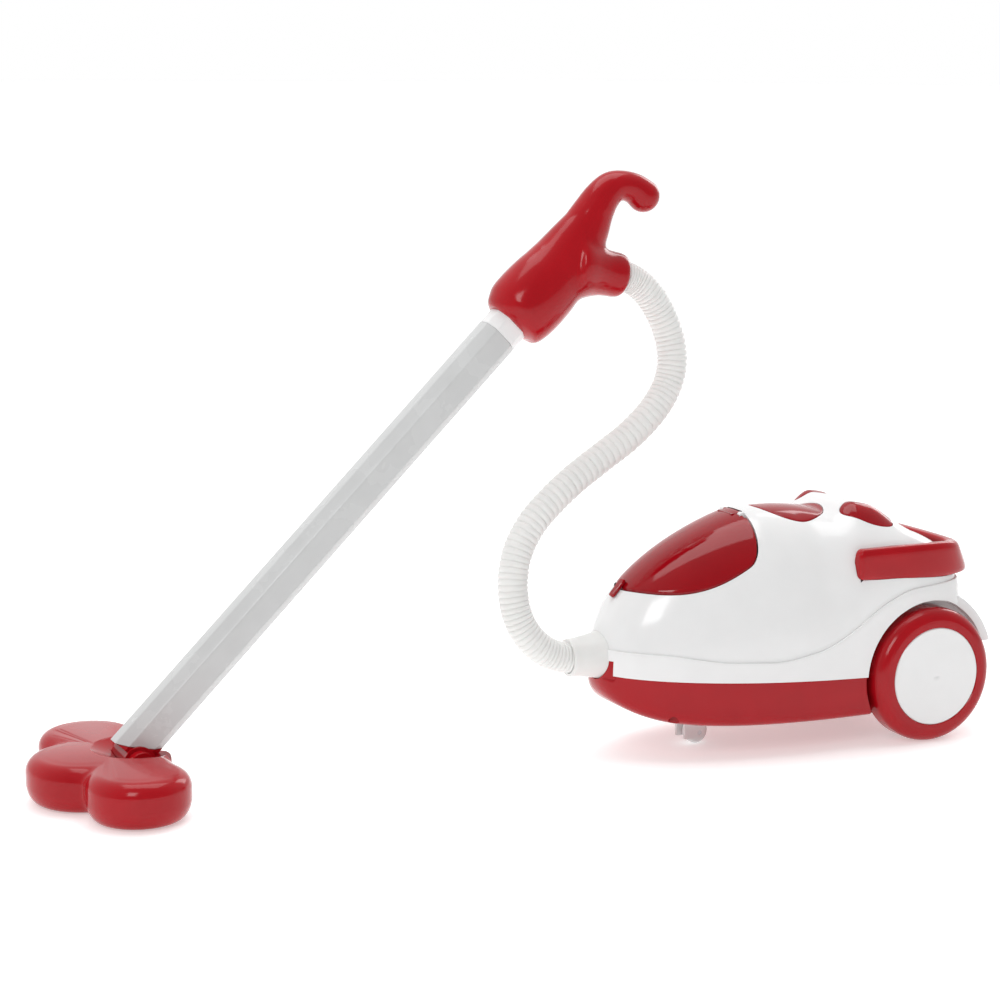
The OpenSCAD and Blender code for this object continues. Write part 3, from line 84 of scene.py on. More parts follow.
# materials
def plastic(name, base, rough=0.2, vary=0.06, mottle=45, peel=0.02, coat=0.25, sss=0.0, through=0.0,
            metal=0.0, ior=1.42):
    """Moulded plastic or metal: cloudy colour, uneven gloss and a fine moulded texture."""
    mat = bpy.data.materials.new(name)
    mat.use_nodes = True
    nt = mat.node_tree
    b = nt.nodes["Principled BSDF"]
    b.inputs["Base Color"].default_value = (*base, 1)
    b.inputs["Metallic"].default_value = metal
    b.inputs["Coat Weight"].default_value = coat
    b.inputs["Coat Roughness"].default_value = 0.06
    b.inputs["Subsurface Weight"].default_value = sss
    b.inputs["Subsurface Radius"].default_value = (0.004, 0.003, 0.003)
    b.inputs["Subsurface Scale"].default_value = 0.6
    b.inputs["Transmission Weight"].default_value = through
    b.inputs["IOR"].default_value = ior
    coord = nt.nodes.new("ShaderNodeTexCoord")
    cloud = nt.nodes.new("ShaderNodeTexNoise")
    cloud.inputs["Scale"].default_value = mottle
    cloud.inputs["Detail"].default_value = 4
    nt.links.new(coord.outputs["Object"], cloud.inputs["Vector"])
    ramp = nt.nodes.new("ShaderNodeValToRGB")
    ramp.color_ramp.elements[0].position = 0.3
    ramp.color_ramp.elements[1].position = 0.7
    ramp.color_ramp.elements[0].color = (*[c * (1 - vary) for c in base], 1)
    ramp.color_ramp.elements[1].color = (*[min(1, c * (1 + vary)) for c in base], 1)
    nt.links.new(cloud.outputs["Fac"], ramp.inputs["Fac"])
    nt.links.new(ramp.outputs["Color"], b.inputs["Base Color"])
    gloss = nt.nodes.new("ShaderNodeMapRange")
    gloss.inputs["To Min"].default_value = rough * 0.8
    gloss.inputs["To Max"].default_value = rough * 1.25
    nt.links.new(cloud.outputs["Fac"], gloss.inputs["Value"])
    nt.links.new(gloss.outputs["Result"], b.inputs["Roughness"])
    fine = nt.nodes.new("ShaderNodeTexNoise")
    fine.inputs["Scale"].default_value = 700
    fine.inputs["Detail"].default_value = 2
    nt.links.new(coord.outputs["Object"], fine.inputs["Vector"])
    bump = nt.nodes.new("ShaderNodeBump")
    bump.inputs["Strength"].default_value = peel
    bump.inputs["Distance"].default_value = 0.0005
    nt.links.new(fine.outputs["Fac"], bump.inputs["Height"])
    nt.links.new(bump.outputs["Normal"], b.inputs["Normal"])
    return mat


RED = plastic("red_gloss", (0.37, 0.004, 0.009), 0.15, coat=0.08, ior=1.32)
WHITE = plastic("white_gloss", (0.80, 0.80, 0.80), 0.22, vary=0.015, coat=0.4, sss=0.05)
SOFT = plastic("soft_white", (0.78, 0.775, 0.76), 0.38, vary=0.03, peel=0.05, coat=0.1, sss=0.15)
CLEAR = plastic("tinted_red", (0.40, 0.003, 0.009), 0.08, vary=0.04, coat=0.15, through=0.3, ior=1.34)
GREY = plastic("silver_grey", (0.56, 0.565, 0.565), 0.26, vary=0.03, coat=0.3)
DARK = plastic("dark_plastic", (0.035, 0.035, 0.04), 0.45, vary=0.15, peel=0.08, coat=0.0)
CELL = plastic("cell_wrap", (0.05, 0.05, 0.06), 0.3, vary=0.15)
STEEL = plastic("zinc_steel", (0.55, 0.55, 0.57), 0.3, vary=0.08, peel=0.06, coat=0.0, metal=1.0)
SLOTS = {"red_shell": RED, "white_shell": WHITE, "soft_white": SOFT, "clear_red": CLEAR, "grey_tube": GREY,
         "dark_plastic": DARK, "cells": CELL, "steel": STEEL}
for row in frame["record"]["subparts"]:
    mesh = N[row["node"]].data
    mesh.materials.clear()
    mesh.materials.append(SLOTS[row["material_slot"]])
SLOT_OF = {row["node"]: row["material_slot"] for row in frame["record"]["subparts"]}
BODY_OF = {n: b for b, ns in frame["record"]["behaviour"]["bodies"].items() for n in ns}


# mesh helpers, in mm of the canister's frame
def solid(name, points, faces):
    mesh = bpy.data.meshes.new(name)
    mesh.from_pydata([tuple(p) for p in metres(points)], [], [tuple(int(i) for i in f) for f in faces])
    bm = bmesh.new()
    bm.from_mesh(mesh)
    bmesh.ops.recalc_face_normals(bm, faces=bm.faces)
    bm.to_mesh(mesh)
    bm.free()
    obj = bpy.data.objects.new(name, mesh)
    scene.collection.objects.link(obj)
    return obj


def band(rows, n, closed=True):
    return [(r * n + k, r * n + (k + 1) % n, (r + 1) * n + (k + 1) % n, (r + 1) * n + k)
            for r in range(rows - 1) for k in range(n if closed else n - 1)]


def lathe_like(name, rings, tip=None, foot=None):
    """A closed solid through rings, which ends in a point or a flat face at either end."""
    n, rows = len(rings[0]), len(rings)
    pts = list(np.concatenate(rings))
    faces = band(rows, n)
    for ring, point in ((0, foot), (rows - 1, tip)):
        if point is None:
            faces.append([ring * n + k for k in range(n)])
        else:
            pts.append(np.asarray(point, float))
            faces += [(ring * n + k, ring * n + (k + 1) % n, len(pts) - 1) for k in range(n)]
    return solid(name, pts, faces)


def prism(name, outline, z0, z1):
    o = np.asarray(outline, float)
    return lathe_like(name, [np.c_[o, np.full(len(o), z)] for z in (z0, z1)])


def tube(name, a, b, radius, n=64):
    """A plain cylinder between two points."""
    a, b = np.asarray(a, float), np.asarray(b, float)
    d = (b - a) / np.linalg.norm(b - a)
    u = np.cross(d, [0.0, 1.0, 0.0] if abs(d[1]) < 0.9 else [1.0, 0.0, 0.0])
    u /= np.linalg.norm(u)
    v = np.cross(d, u)
    t = np.linspace(0, 2 * np.pi, n, endpoint=False)[:, None]
    return lathe_like(name, [c + radius * (np.cos(t) * u + np.sin(t) * v) for c in (a, b)])


def box(name, low, high):
    x, y, z = zip(low, high)
    return prism(name, [(x[0], y[0]), (x[1], y[0]), (x[1], y[1]), (x[0], y[1])], *z)


def settle(obj):
    """Puts the result of the object's modifiers in its mesh."""
    dg = bpy.context.evaluated_depsgraph_get()
    mesh = bpy.data.meshes.new_from_object(obj.evaluated_get(dg))
    obj.modifiers.clear()
    old, obj.data = obj.data, mesh
    bpy.data.meshes.remove(old)
    return obj


def combine(obj, tool, how="DIFFERENCE"):
    m = obj.modifiers.new("combine", "BOOLEAN")
    m.operation, m.object, m.solver = how, tool, "MANIFOLD"
    settle(obj)
    mesh = tool.data
    bpy.data.objects.remove(tool)
    bpy.data.meshes.remove(mesh)
    return obj


class Surface:
    """The smooth shading of an uncut surface, for the pieces that are cut from it."""

    def __init__(self, obj):
        mesh = obj.data
        self.points = [v.co.copy() for v in mesh.vertices]
        self.normals = [n.vector.copy() for n in mesh.vertex_normals]
        mesh.calc_loop_triangles()
        self.tris = [tuple(t.vertices) for t in mesh.loop_triangles]
        self.tree = BVHTree.FromPolygons(self.points, self.tris)

    def at(self, p, reach):
        hit, _, i, _ = self.tree.find_nearest(p, reach)
        if hit is None:
            return None
        a, b, c = self.tris[i]
        pa, pb, pc = self.points[a], self.points[b], self.points[c]
        area = (pb - pa).cross(pc - pa).length
        if area < 1e-12:
            return None
        wa = (pb - hit).cross(pc - hit).length / area
        wb = (pc - hit).cross(pa - hit).length / area
        n = self.normals[a] * wa + self.normals[b] * wb + self.normals[c] * (1 - wa - wb)
        return n.normalized()


def shade(obj, surfaces=(), angle=32, reach=0.0001):
    """Smooth shading with hard edges, and an uncut surface's own normals where the piece lies on it."""
    mesh = obj.data
    mesh.polygons.foreach_set("use_smooth", [True] * len(mesh.polygons))
    bm = bmesh.new()
    bm.from_mesh(mesh)
    for e in bm.edges:
        e.smooth = not (len(e.link_faces) != 2 or e.calc_face_angle(0) > math.radians(angle))
    bm.to_mesh(mesh)
    bm.free()
    if not surfaces:
        return obj
    normals = [n.vector.copy() for n in mesh.corner_normals]
    for poly in mesh.polygons:
        for s in surfaces:
            if s.at(poly.center, 4 * reach) is None:
                continue
            for i in poly.loop_indices:
                n = s.at(mesh.vertices[mesh.loops[i].vertex_index].co, reach)
                if n is not None and abs(n.dot(poly.normal)) > 0.8:
                    normals[i] = n if n.dot(poly.normal) > 0 else -n
            break
    mesh.normals_split_custom_set(normals)
    return obj


def stand_in(obj, *nodes, body=None, mat=None):
    """The piece stands for these CAD nodes, in their material and on their body."""
    obj.data.materials.clear()
    obj.data.materials.append(mat or SLOTS[SLOT_OF[nodes[0]]])
    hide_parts(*nodes)
    if body != "none":
        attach(obj, BODY_OF[nodes[0]])
    return obj


def spline(points, count):
    """Smooth curve through points, at evenly numbered steps."""
    p = np.asarray(points, float)
    last = len(p) - 1
    u = np.linspace(0, last, count)
    i = np.minimum(last - 1, np.floor(u).astype(int))
    t = (u - i)[:, None]
    a, b, c, d = p[np.maximum(0, i - 1)], p[i], p[i + 1], p[np.minimum(last, i + 2)]
    return b + t / 2 * ((c - a) + t * ((2 * a - 5 * b + 4 * c - d) + t * (3 * b - a - 3 * c + d)))


def directions(line):
    d = np.gradient(line, axis=0)
    return d / np.linalg.norm(d, axis=1)[:, None]


# hose
HOSE = [[-195.8, 44, 311.2], [-186, 44, 309.1], [-176.2, 44, 307], [-167, 44, 303], [-158, 42, 295],
        [-150, 41, 283], [-144, 39, 267], [-143, 36, 250], [-148, 34, 234], [-160, 31, 219],
        [-179, 28, 204], [-200, 25, 192], [-221, 22, 180], [-240, 19, 167], [-256, 16, 153],
        [-267, 13, 137], [-272, 10, 120], [-272, 7, 103], [-268, 4, 89], [-259, 1, 77], [-248, 0, 70],
        [-236, 0, 67], [-226, 0, 67], [-216, 0, 67]]
HOSE_D, HOSE_ROOT, HOSE_BORE, RIBS, RIB_STEPS, HOSE_SIDES = 20, 18.2, 14.4, 112, 10, 28
line = spline(HOSE, RIBS * RIB_STEPS + 1)
along = directions(line)
side = np.cross([0.0, 1.0, 0.0], along)
side /= np.linalg.norm(side, axis=1)[:, None]
up = np.cross(along, side)
wave = np.abs(np.sin(np.arange(len(line)) * math.pi / RIB_STEPS)) ** 0.65
turn = np.linspace(0, 2 * np.pi, HOSE_SIDES, endpoint=False)


def loops(radii):
    return [line[i] + r * (np.cos(turn)[:, None] * side[i] + np.sin(turn)[:, None] * up[i])
            for i, r in radii]


rings = loops([(i, HOSE_ROOT / 2 + (HOSE_D - HOSE_ROOT) / 2 * w) for i, w in enumerate(wave)])
rings += loops([(i, HOSE_BORE / 2) for i in range(len(line) - 1, -1, -12)])
n, rows = HOSE_SIDES, len(rings)
last = (rows - 1) * n
faces = band(rows, n) + [(last + k, last + (k + 1) % n, (k + 1) % n, k) for k in range(n)]
hose = solid("ribbed_hose", np.concatenate(rings), faces)
shade(hose, angle=60)
stand_in(hose, "hose", body="none")
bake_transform(hose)

# canister body: the same seam, plan, crown and crease as the CAD source
FRONT, REAR, BELLY, HALF, CROWN_H, CROWN_X = 219, 38, 49, 62, 156, 112
CLEAR_Z, SEAM, RISE, SHELL_W, PAN_W, STEP, FLARE, HUMP = 19.5, 47, 10, 2.2, 2.4, 1.4, 5, 9.5
HUB = np.array([-60.0, 0.0])
NOSE_N, TAIL_N, SEAM_GAP = 2.2, 4.5, 0.1


def sup(u, n):
    return np.maximum(0, 1 - np.minimum(1, np.abs(u)) ** n) ** (1 / n)


def ease(a, b, x):
    t = np.clip((np.asarray(x, float) - a) / (b - a), 0, 1)
    return t * t * (3 - 2 * t)


def spow(v, p):
    return np.sign(v) * np.abs(v) ** p


def seam_z(x):
    return SEAM + RISE * (np.maximum(0, -x) / FRONT) ** 1.5


def plan(t, e):
    c, s = np.cos(t), np.sin(t)
    n = np.where(c < 0, NOSE_N, TAIL_N)
    reach = np.where(c < 0, FRONT - BELLY, REAR + BELLY) - e
    return np.c_[-BELLY + reach * spow(c, 2 / n), (HALF - e) * spow(s, 2 / n)]


def outward(t):
    c, s = np.cos(t), np.sin(t)
    n = np.where(c < 0, NOSE_N, TAIL_N)
    reach = np.where(c < 0, FRONT - BELLY, REAR + BELLY)
    v = np.c_[spow(c, 2 - 2 / n) / reach, spow(s, 2 - 2 / n) / HALF]
    return v / np.linalg.norm(v, axis=1)[:, None]


def crown(x, e):
    z = seam_z(x)
    u = np.clip((-CROWN_X - x) / (FRONT - e - CROWN_X), 0, 1)
    fore = np.maximum(0, 1 - u ** 1.2) ** 0.4
    aft = sup((x + CROWN_X) / (REAR - e + CROWN_X), 9)
    d = np.maximum(0, x + CROWN_X)
    return z + (CROWN_H - e - 0.02 * d - 0.0012 * d * d - z) * np.where(x < -CROWN_X, fore, aft)


def top_z(x, y, e=0.0):
    z = seam_z(x)
    c = x + BELLY
    reach = np.where(c < 0, FRONT - BELLY, REAR + BELLY) - e
    n = np.where(c < 0, NOSE_N, TAIL_N)
    wide = np.maximum(0.01, (HALF - e) * sup(c / reach, n))
    bump = HUMP * ease(-58, -40, x) * (1 - ease(-30, 6, x)) * (1 - ease(25, 50, np.abs(y)))
    return z + (crown(x, e) - z) * sup(y / wide, 2.25 + 2.6 * ease(-80, -15, x)) + bump


CREASE_X = [-219, -185, -150, -110, -79, -58, -40, -17, 24, 60]
CREASE_Z = [73, 71, 65, 63, 69, 80, 93, 103, 105, 105]
fine_x = np.linspace(-219, 60, 560)
fine_z = np.interp(fine_x, CREASE_X, CREASE_Z)
kernel = np.hanning(61)
fine_z = np.convolve(np.pad(fine_z, 30, mode="edge"), kernel / kernel.sum(), mode="valid")


def crease_z(x):
    return np.interp(x, fine_x, fine_z)


def even_turns(count):
    """Angles that space points evenly round the plan."""
    t = np.linspace(0, 2 * np.pi, 20001)
    p = plan(t, 0)
    run = np.r_[0, np.cumsum(np.linalg.norm(np.diff(p, axis=0), axis=1))]
    return np.interp(np.arange(count) * run[-1] / count, run, t)


T = even_turns(240)
PLAN = plan(T, 0)
OUT = outward(T)


def at_hub(o, r):
    return HUB + np.asarray(r)[:, None] * (o - HUB)


def find_r(o, z):
    lo, hi = np.full(len(o), 0.5), np.ones(len(o))
    for _ in range(30):
        m = (lo + hi) / 2
        p = at_hub(o, m)
        above = top_z(p[:, 0], p[:, 1]) > z
        lo, hi = np.where(above, m, lo), np.where(above, hi, m)
    return (lo + hi) / 2


def low_ring(f):
    z = seam_z(PLAN[:, 0]) + SEAM_GAP / 2
    h = z + (crease_z(PLAN[:, 0]) - z) * f
    r = np.ones(len(PLAN)) if f == 0 else find_r(PLAN, h)
    flare = FLARE * (0.45 * ease(-70, 5, PLAN[:, 0]) + 0.55 * ease(5, 30, PLAN[:, 0]))
    p = at_hub(PLAN, r) + OUT * (STEP + flare * (1 - f) ** 1.2)[:, None]
    return np.c_[p, h]


RC = find_r(PLAN, crease_z(PLAN[:, 0]) + 0.4)


def high_ring(f):
    p = at_hub(PLAN, RC * np.cos(np.pi / 2 * f) ** 0.87)
    return np.c_[p, top_z(p[:, 0], p[:, 1])]


low = [low_ring(f) for f in np.linspace(0, 1, 13)]
high = [high_ring(f) for f in np.linspace(0, 1, 61)[:-1]]
ledge = []
for s in (0.12, 0.3, 0.5, 0.7, 0.88):
    # the step of the crease is rounded above and below
    k = s * s * (3 - 2 * s)
    mix = low[-1] * (1 - k) + high[0] * k
    mix[:, 2] = low[-1][:, 2] * (1 - s) + high[0][:, 2] * s + 0.35 * math.sin(math.pi * s)
    ledge.append(mix)
summit = [HUB[0], HUB[1], float(top_z(HUB[0], HUB[1]))]
shell = lathe_like("upper_shell_skin", low + ledge + high, tip=summit, foot=[*HUB, float(seam_z(HUB[0]))])
shell_face = Surface(shell)

inner = []
for j in range(-1, 28):
    o = plan(even_turns(120), SHELL_W)
    p = at_hub(o, np.full(120, math.cos(math.pi / 2 * max(0, j) / 28) ** 0.8))
    z = top_z(p[:, 0], p[:, 1], SHELL_W)
    inner.append(np.c_[p, z - 3 if j < 0 else z])
inner_top = [HUB[0], HUB[1], float(top_z(HUB[0], HUB[1], SHELL_W))]

AXLE_Z, GUARD_R, GUARD_Y, GUARD_FOOT = 45, 56, 55, 62
WELL_R, WELL_Y = 49.5, 49


def disc_at(name, y0, y1, r, n=96):
    return tube(name, [0, y0, AXLE_Z], [0, y1, AXLE_Z], r, n)


def guard(s):
    """A mudguard with a rounded rim, a piece of a thick wheel."""
    a = np.radians(np.linspace(math.degrees(math.asin((GUARD_FOOT - AXLE_Z) / GUARD_R)), 111, 60))
    rows = []
    for y, r in ((WELL_Y - 3, GUARD_R), (GUARD_Y - 1.6, GUARD_R), (GUARD_Y - 0.6, GUARD_R - 0.4),
                 (GUARD_Y - 0.1, GUARD_R - 1.1), (GUARD_Y, GUARD_R - 1.8)):
        arc = np.c_[r * np.cos(a), np.full(len(a), s * y), AXLE_Z + r * np.sin(a)]
        rows.append(np.r_[arc, [[r * np.cos(a[-1]), s * y, GUARD_FOOT]]])
    return lathe_like("guard", rows)


def egg(t, g, nose=0.0):
    c, s = np.cos(t), np.sin(t)
    fore = np.c_[-LID_MID + (LID_FORE + g + nose) * c, (LID_HALF + g) * s]
    aft = np.c_[-LID_MID + (LID_AFT + g) * np.sqrt(np.maximum(0, c)), (LID_HALF + g) * spow(s, 0.5)]
    return np.where((c < 0)[:, None], fore, aft)


LID_MID, LID_FORE, LID_AFT, LID_HALF, LID_W, LID_GAP, NOSE_GAP = 133, 66, 17, 41.5, 2.4, 0.8, 0.9
BUTTON_X, BUTTON_A, BUTTON_B, BUTTON_GAP = 76, 25, 25, 0.4
LAMP_X, LAMP_Y, LAMP_A, LAMP_B, LAMP_TILT = 33, 32, 18, 9.5, math.radians(19)
LENS_BULGE = 1.5


def oval(t, g):
    return np.c_[-BUTTON_X + (BUTTON_A + g) * np.cos(t), (BUTTON_B + g) * np.sin(t)]


def almond(t, g, s):
    a, b = (LAMP_A + g) * np.cos(t), (LAMP_B + g) * np.sin(t)
    c, k = math.cos(LAMP_TILT), math.sin(LAMP_TILT)
    return np.c_[-LAMP_X + a * c + b * k, s * (LAMP_Y + a * k - b * c)]


ROUND = np.linspace(0, 2 * np.pi, 144, endpoint=False)


def even_outline(fn, count=144):
    """Evenly spaced points on a closed outline."""
    t = np.linspace(0, 2 * np.pi, 8001)
    p = fn(t)
    run = np.r_[0, np.cumsum(np.linalg.norm(np.diff(p, axis=0), axis=1))]
    return fn(np.interp(np.arange(count) * run[-1] / count, run, t))


GRIP_HALF, GRIP_REAR, GRIP_THICK, GRIP_H, GRIP_Z, SLANT, ARM_TAPER = 56, 38, 9, 24, 120.5, 0.5, 0.3
GRIP_TURN = [90, 86, 80, 72, 62, 52, 42, 32, 22, 11]


def grip_curve(deg):
    c, s = math.cos(math.radians(deg)), math.sin(math.radians(deg))
    return [-BELLY + (GRIP_REAR + BELLY) * max(0, c) ** (2 / TAIL_N), GRIP_HALF * float(spow(s, 2 / TAIL_N))]


def grip(name, grow):
    """The rear handle's band, swept round the back of the body."""
    ends = [[-BELLY - d, GRIP_HALF] for d in (6, 5, 2)]
    path = ends + [grip_curve(t) for t in GRIP_TURN] + [grip_curve(0)]
    path = np.array(path + [[x, -y] for x, y in path[-2::-1]])
    path = spline(path, 181)
    u = directions(path)
    run = np.r_[0, np.cumsum(np.linalg.norm(np.diff(path, axis=0), axis=1))]
    tip = np.minimum(run, run[-1] - run)
    t = (np.arange(40) + 0.5) * 2 * np.pi / 40
    rings = []
    for i in range(len(path)):
        k = 0.6 + 0.4 * math.sqrt(1 - (1 - min(1, tip[i] / 4)) ** 2)
        a = (k * GRIP_THICK / 2 + grow) * spow(np.cos(t), 0.5)
        b = (k * GRIP_H / 2 + grow) * spow(np.sin(t), 0.5)
        taper = ARM_TAPER * (1 - float(ease(-BELLY - 6, -10, path[i, 0])))
        b = b * np.where(t < np.pi, 1 - 0.3 * abs(u[i, 1]), 1 - taper)
        g = grow * (-1 if i == 0 else 1) if i in (0, len(path) - 1) else 0
        rings.append(np.c_[path[i, 0] - u[i, 1] * a + u[i, 0] * g - SLANT * b * abs(u[i, 1]),
                           path[i, 1] + u[i, 0] * a + u[i, 1] * g, GRIP_Z + b])
    return lathe_like(name, rings)


CASE = [(-66, 49.5, 100), (-66, -49.5, 100), (-180, 37, 86), (-180, -37, 86)]
HINGE_X = -LID_MID + LID_AFT - 0.5
HINGE_Z = float(top_z(np.array(HINGE_X), np.array(0.0))) - 2.6
KNUCKLE_R, KNUCKLE, LUG_W, MOVE = 2.3, 9, 4, 0.4
LUG_Y = KNUCKLE + MOVE + LUG_W / 2
INLET_Z, INLET_R = 67, 15.5


def on_hinge(name, y0, y1, r):
    return tube(name, [HINGE_X, y0, HINGE_Z], [HINGE_X, y1, HINGE_Z], r, 40)


hollow = lathe_like("hollow", inner, tip=inner_top, foot=[*HUB, SEAM - 3.0])
for s in (-1, 1):
    combine(hollow, disc_at("w", s * (WELL_Y - 2), s * 120, WELL_R + 2))
for x, y, z in CASE:
    combine(hollow, tube("post", [x, y, 40], [x, y, z], 4.5, 32))
for s in (-1, 1):
    combine(shell, guard(s), "UNION")
combine(shell, hollow)
for s in (-1, 1):
    combine(shell, disc_at("well", s * WELL_Y, s * 130, WELL_R))
combine(shell, prism("lid_hole", even_outline(lambda t: egg(t, LID_GAP, NOSE_GAP)), 80, 175))
combine(shell, prism("button_hole", oval(ROUND, BUTTON_GAP), 130, 175))
for s in (-1, 1):
    combine(shell, prism("lamp_hole", almond(ROUND, 0.2, s), 100, 175))
combine(shell, grip("grip_slot", 0.2))
combine(shell, box("chin_slot", (-FRONT - 10, -19.2, 40), (-FRONT + 17.2, 19.2, INLET_Z - 0.8)))
combine(shell, tube("inlet", [-FRONT - 20, 0, INLET_Z], [-FRONT + 30, 0, INLET_Z], INLET_R, 96))
for s in (-1, 1):
    root = box("lug_root", (HINGE_X + 0.5, s * LUG_Y - 2, HINGE_Z - 1),
               (HINGE_X + 6, s * LUG_Y + 2, HINGE_Z + 1))
    combine(shell, root, "UNION")
    combine(shell, on_hinge("lug", s * LUG_Y - 2, s * LUG_Y + 2, KNUCKLE_R), "UNION")
combine(shell, on_hinge("knuckle_room", -KNUCKLE - MOVE, KNUCKLE + MOVE, KNUCKLE_R + 2 * MOVE))
shade(shell, [shell_face])
stand_in(shell, "upper_shell")
stand_in(shade(grip("rear_grip", 0)), "rear_handle")

# base pan
def pan_form(name, e, lift, count, rows):
    t = even_turns(count)
    o = plan(t, e)
    m = 2 / (10 - 7 * np.maximum(0, -np.cos(t)) ** 2)
    z = seam_z(o[:, 0]) - SEAM_GAP / 2
    rings = [np.c_[o, z + lift]] if lift else []
    for j in range(rows + 1):
        a = math.radians(72 * j / rows)
        f = 1 if j == rows else math.sin(a) ** m
        rings.append(np.c_[at_hub(o, math.cos(a) ** m), z - (z - CLEAR_Z - e) * f])
    return lathe_like(name, rings, tip=[HUB[0], HUB[1], CLEAR_Z + e])


pan = pan_form("base_pan_skin", 0, 0, 240, 40)
pan_face = Surface(pan)
pan_hollow = pan_form("pan_hollow", PAN_W, 4, 120, 16)
BAY_X, BAY, BAY_TOP, LEDGE, DOOR = 95, (3 * 14.2 + 12, 56), 40, 2, 2
EAR_X = -BAY_X + BAY[0] / 2 + LEDGE
bay_back, bay_front, bay_side = -BAY_X + BAY[0] / 2, -BAY_X - BAY[0] / 2, BAY[1] / 2
combine(pan_hollow, box("bay_wall", (bay_front - 4, -bay_side - 4, 10), (bay_back + 4, bay_side + 4, 42)))
combine(pan_hollow, box("ear_wall", (EAR_X, -8, 10), (EAR_X + 13, 8, 34.5)))
for x, y, z in CASE:
    combine(pan_hollow, tube("post", [x, y, 10], [x, y, float(seam_z(x))], 5, 32))
combine(pan_hollow, tube("caster_post", [-150, 0, 10], [-150, 0, 38], 7.5, 40))
for s in (-1, 1):
    combine(pan_hollow, disc_at("w", s * (WELL_Y - 2), s * 120, WELL_R + 2))
combine(pan, pan_hollow)
chin = prism("chin", plan(T, -0.4), float(seam_z(-FRONT)) - 3, 80)
combine(chin, prism("chin_in", plan(T, PAN_W - 0.5), 40, 81))
combine(chin, box("chin_box", (-FRONT - 10, -19, 40), (-FRONT + 17, 19, INLET_Z - 1)), "INTERSECT")
combine(pan, chin, "UNION")
for s in (-1, 1):
    combine(pan, disc_at("well", s * WELL_Y, s * 130, WELL_R))
    for outer, top in ((47.5, 46.9), (46.6, 52)):
        near, far = sorted((s * 36.5, s * outer))
        combine(pan, box("axle_block", (-7, near, 20.5), (7, far, top)), "UNION")
combine(pan, box("bay", (bay_front, -bay_side, 10), (bay_back, bay_side, BAY_TOP)))
door = [(bay_front - LEDGE, -bay_side - LEDGE), (EAR_X, -bay_side - LEDGE), (EAR_X, -6), (EAR_X + 11, -6),
        (EAR_X + 11, 6), (EAR_X, 6), (EAR_X, bay_side + LEDGE), (bay_front - LEDGE, bay_side + LEDGE)]
combine(pan, prism("door_seat", door, 10, CLEAR_Z + DOOR + 0.2))
combine(pan, tube("door_screw_hole", [EAR_X + 6, 0, 10], [EAR_X + 6, 0, 31.5], 1.35, 24))
combine(pan, tube("inlet", [-FRONT - 20, 0, INLET_Z], [-FRONT + 30, 0, INLET_Z], INLET_R, 96))
for x, y, z in CASE:
    combine(pan, tube("screw_hole", [x, y, 5], [x, y, 36], 3.5, 32))
    combine(pan, tube("shank_hole", [x, y, 5], [x, y, 70], 1.45, 24))
combine(pan, tube("stem_hole", [-150, 0, 5], [-150, 0, 50], 3.58, 40))
combine(pan, tube("axle_hole", [0, -60, AXLE_Z], [0, 60, AXLE_Z], 2.05, 32))
shade(pan, [pan_face])
stand_in(pan, "base_pan")


# lid, button and lamps
def patch(name, outline, up, down, bulge=0.0, edge=0.5, rows=26):
    """A piece of the body's skin inside an outline, with a rounded upper edge."""
    o = np.asarray(outline, float)
    mid = (o[0] + o[len(o) // 2]) / 2
    reach = np.linalg.norm(o - mid, axis=1)[:, None]
    rings = []
    rounding = ((0, None), (0, edge), (0.13 * edge, 0.5 * edge), (0.5 * edge, 0.13 * edge), (edge, 0))
    for inset, drop in rounding:
        p = mid + (o - mid) * (1 - inset / reach)
        z = top_z(p[:, 0], p[:, 1])
        rings.append(np.c_[p, z - down if drop is None else z + up - drop])
    for j in range(1, rows):
        k = 1 - j / rows
        p = mid + (o - mid) * (1 - edge / reach) * k
        rings.append(np.c_[p, top_z(p[:, 0], p[:, 1]) + up + bulge * (1 - k * k)])
    m = float(top_z(mid[0], mid[1]))
    under = []
    for j in range(1, 12):
        p = mid + (o - mid) * (j / 12)
        under.append(np.c_[p, top_z(p[:, 0], p[:, 1]) - down])
    return lathe_like(name, under + rings, tip=[*mid, m + up + bulge], foot=[*mid, m - down])


lid = patch("dust_lid_skin", even_outline(lambda t: egg(t, 0)), 0, LID_W, edge=0.7)
lid_face = Surface(lid)
TAB_X = -LID_MID - LID_FORE - 2
tab_z = float(top_z(np.array(TAB_X), np.array(0.0)))
behind, before = (float(top_z(np.array(TAB_X + d), np.array(0.0))) for d in (4.0, -4.0))
slope = math.atan2(behind - before, 8)


def tab():
    """The finger tab: a tongue with round corners over the shell in front of the lid."""
    rings = []
    for h, g in ((0.5, -0.3), (0.8, 0), (2.5, 0), (2.9, -0.35)):
        c = np.cos(ROUND[::4])
        s = np.sin(ROUND[::4])
        a, b = 0.5 + (7 + g) * spow(c, 0.4), (2.5 + g) * spow(s, 0.4)
        x = TAB_X + a * math.cos(slope) - h * math.sin(slope)
        rings.append(np.c_[x, b, tab_z + a * math.sin(slope) + h * math.cos(slope)])
    return lathe_like("tab", rings)


combine(lid, tab(), "UNION")
combine(lid, box("root", (HINGE_X - 6, -KNUCKLE, HINGE_Z - 1.6), (HINGE_X, KNUCKLE, HINGE_Z + 1.2)), "UNION")
for s in (-1, 1):
    combine(lid, on_hinge("lug_room", s * LUG_Y - 2.4, s * LUG_Y + 2.4, KNUCKLE_R + MOVE))
combine(lid, on_hinge("knuckle", -KNUCKLE, KNUCKLE, KNUCKLE_R), "UNION")
combine(lid, on_hinge("pin_hole", -30, 30, 1.08))
shade(lid, [lid_face])
stand_in(lid, "dust_lid")

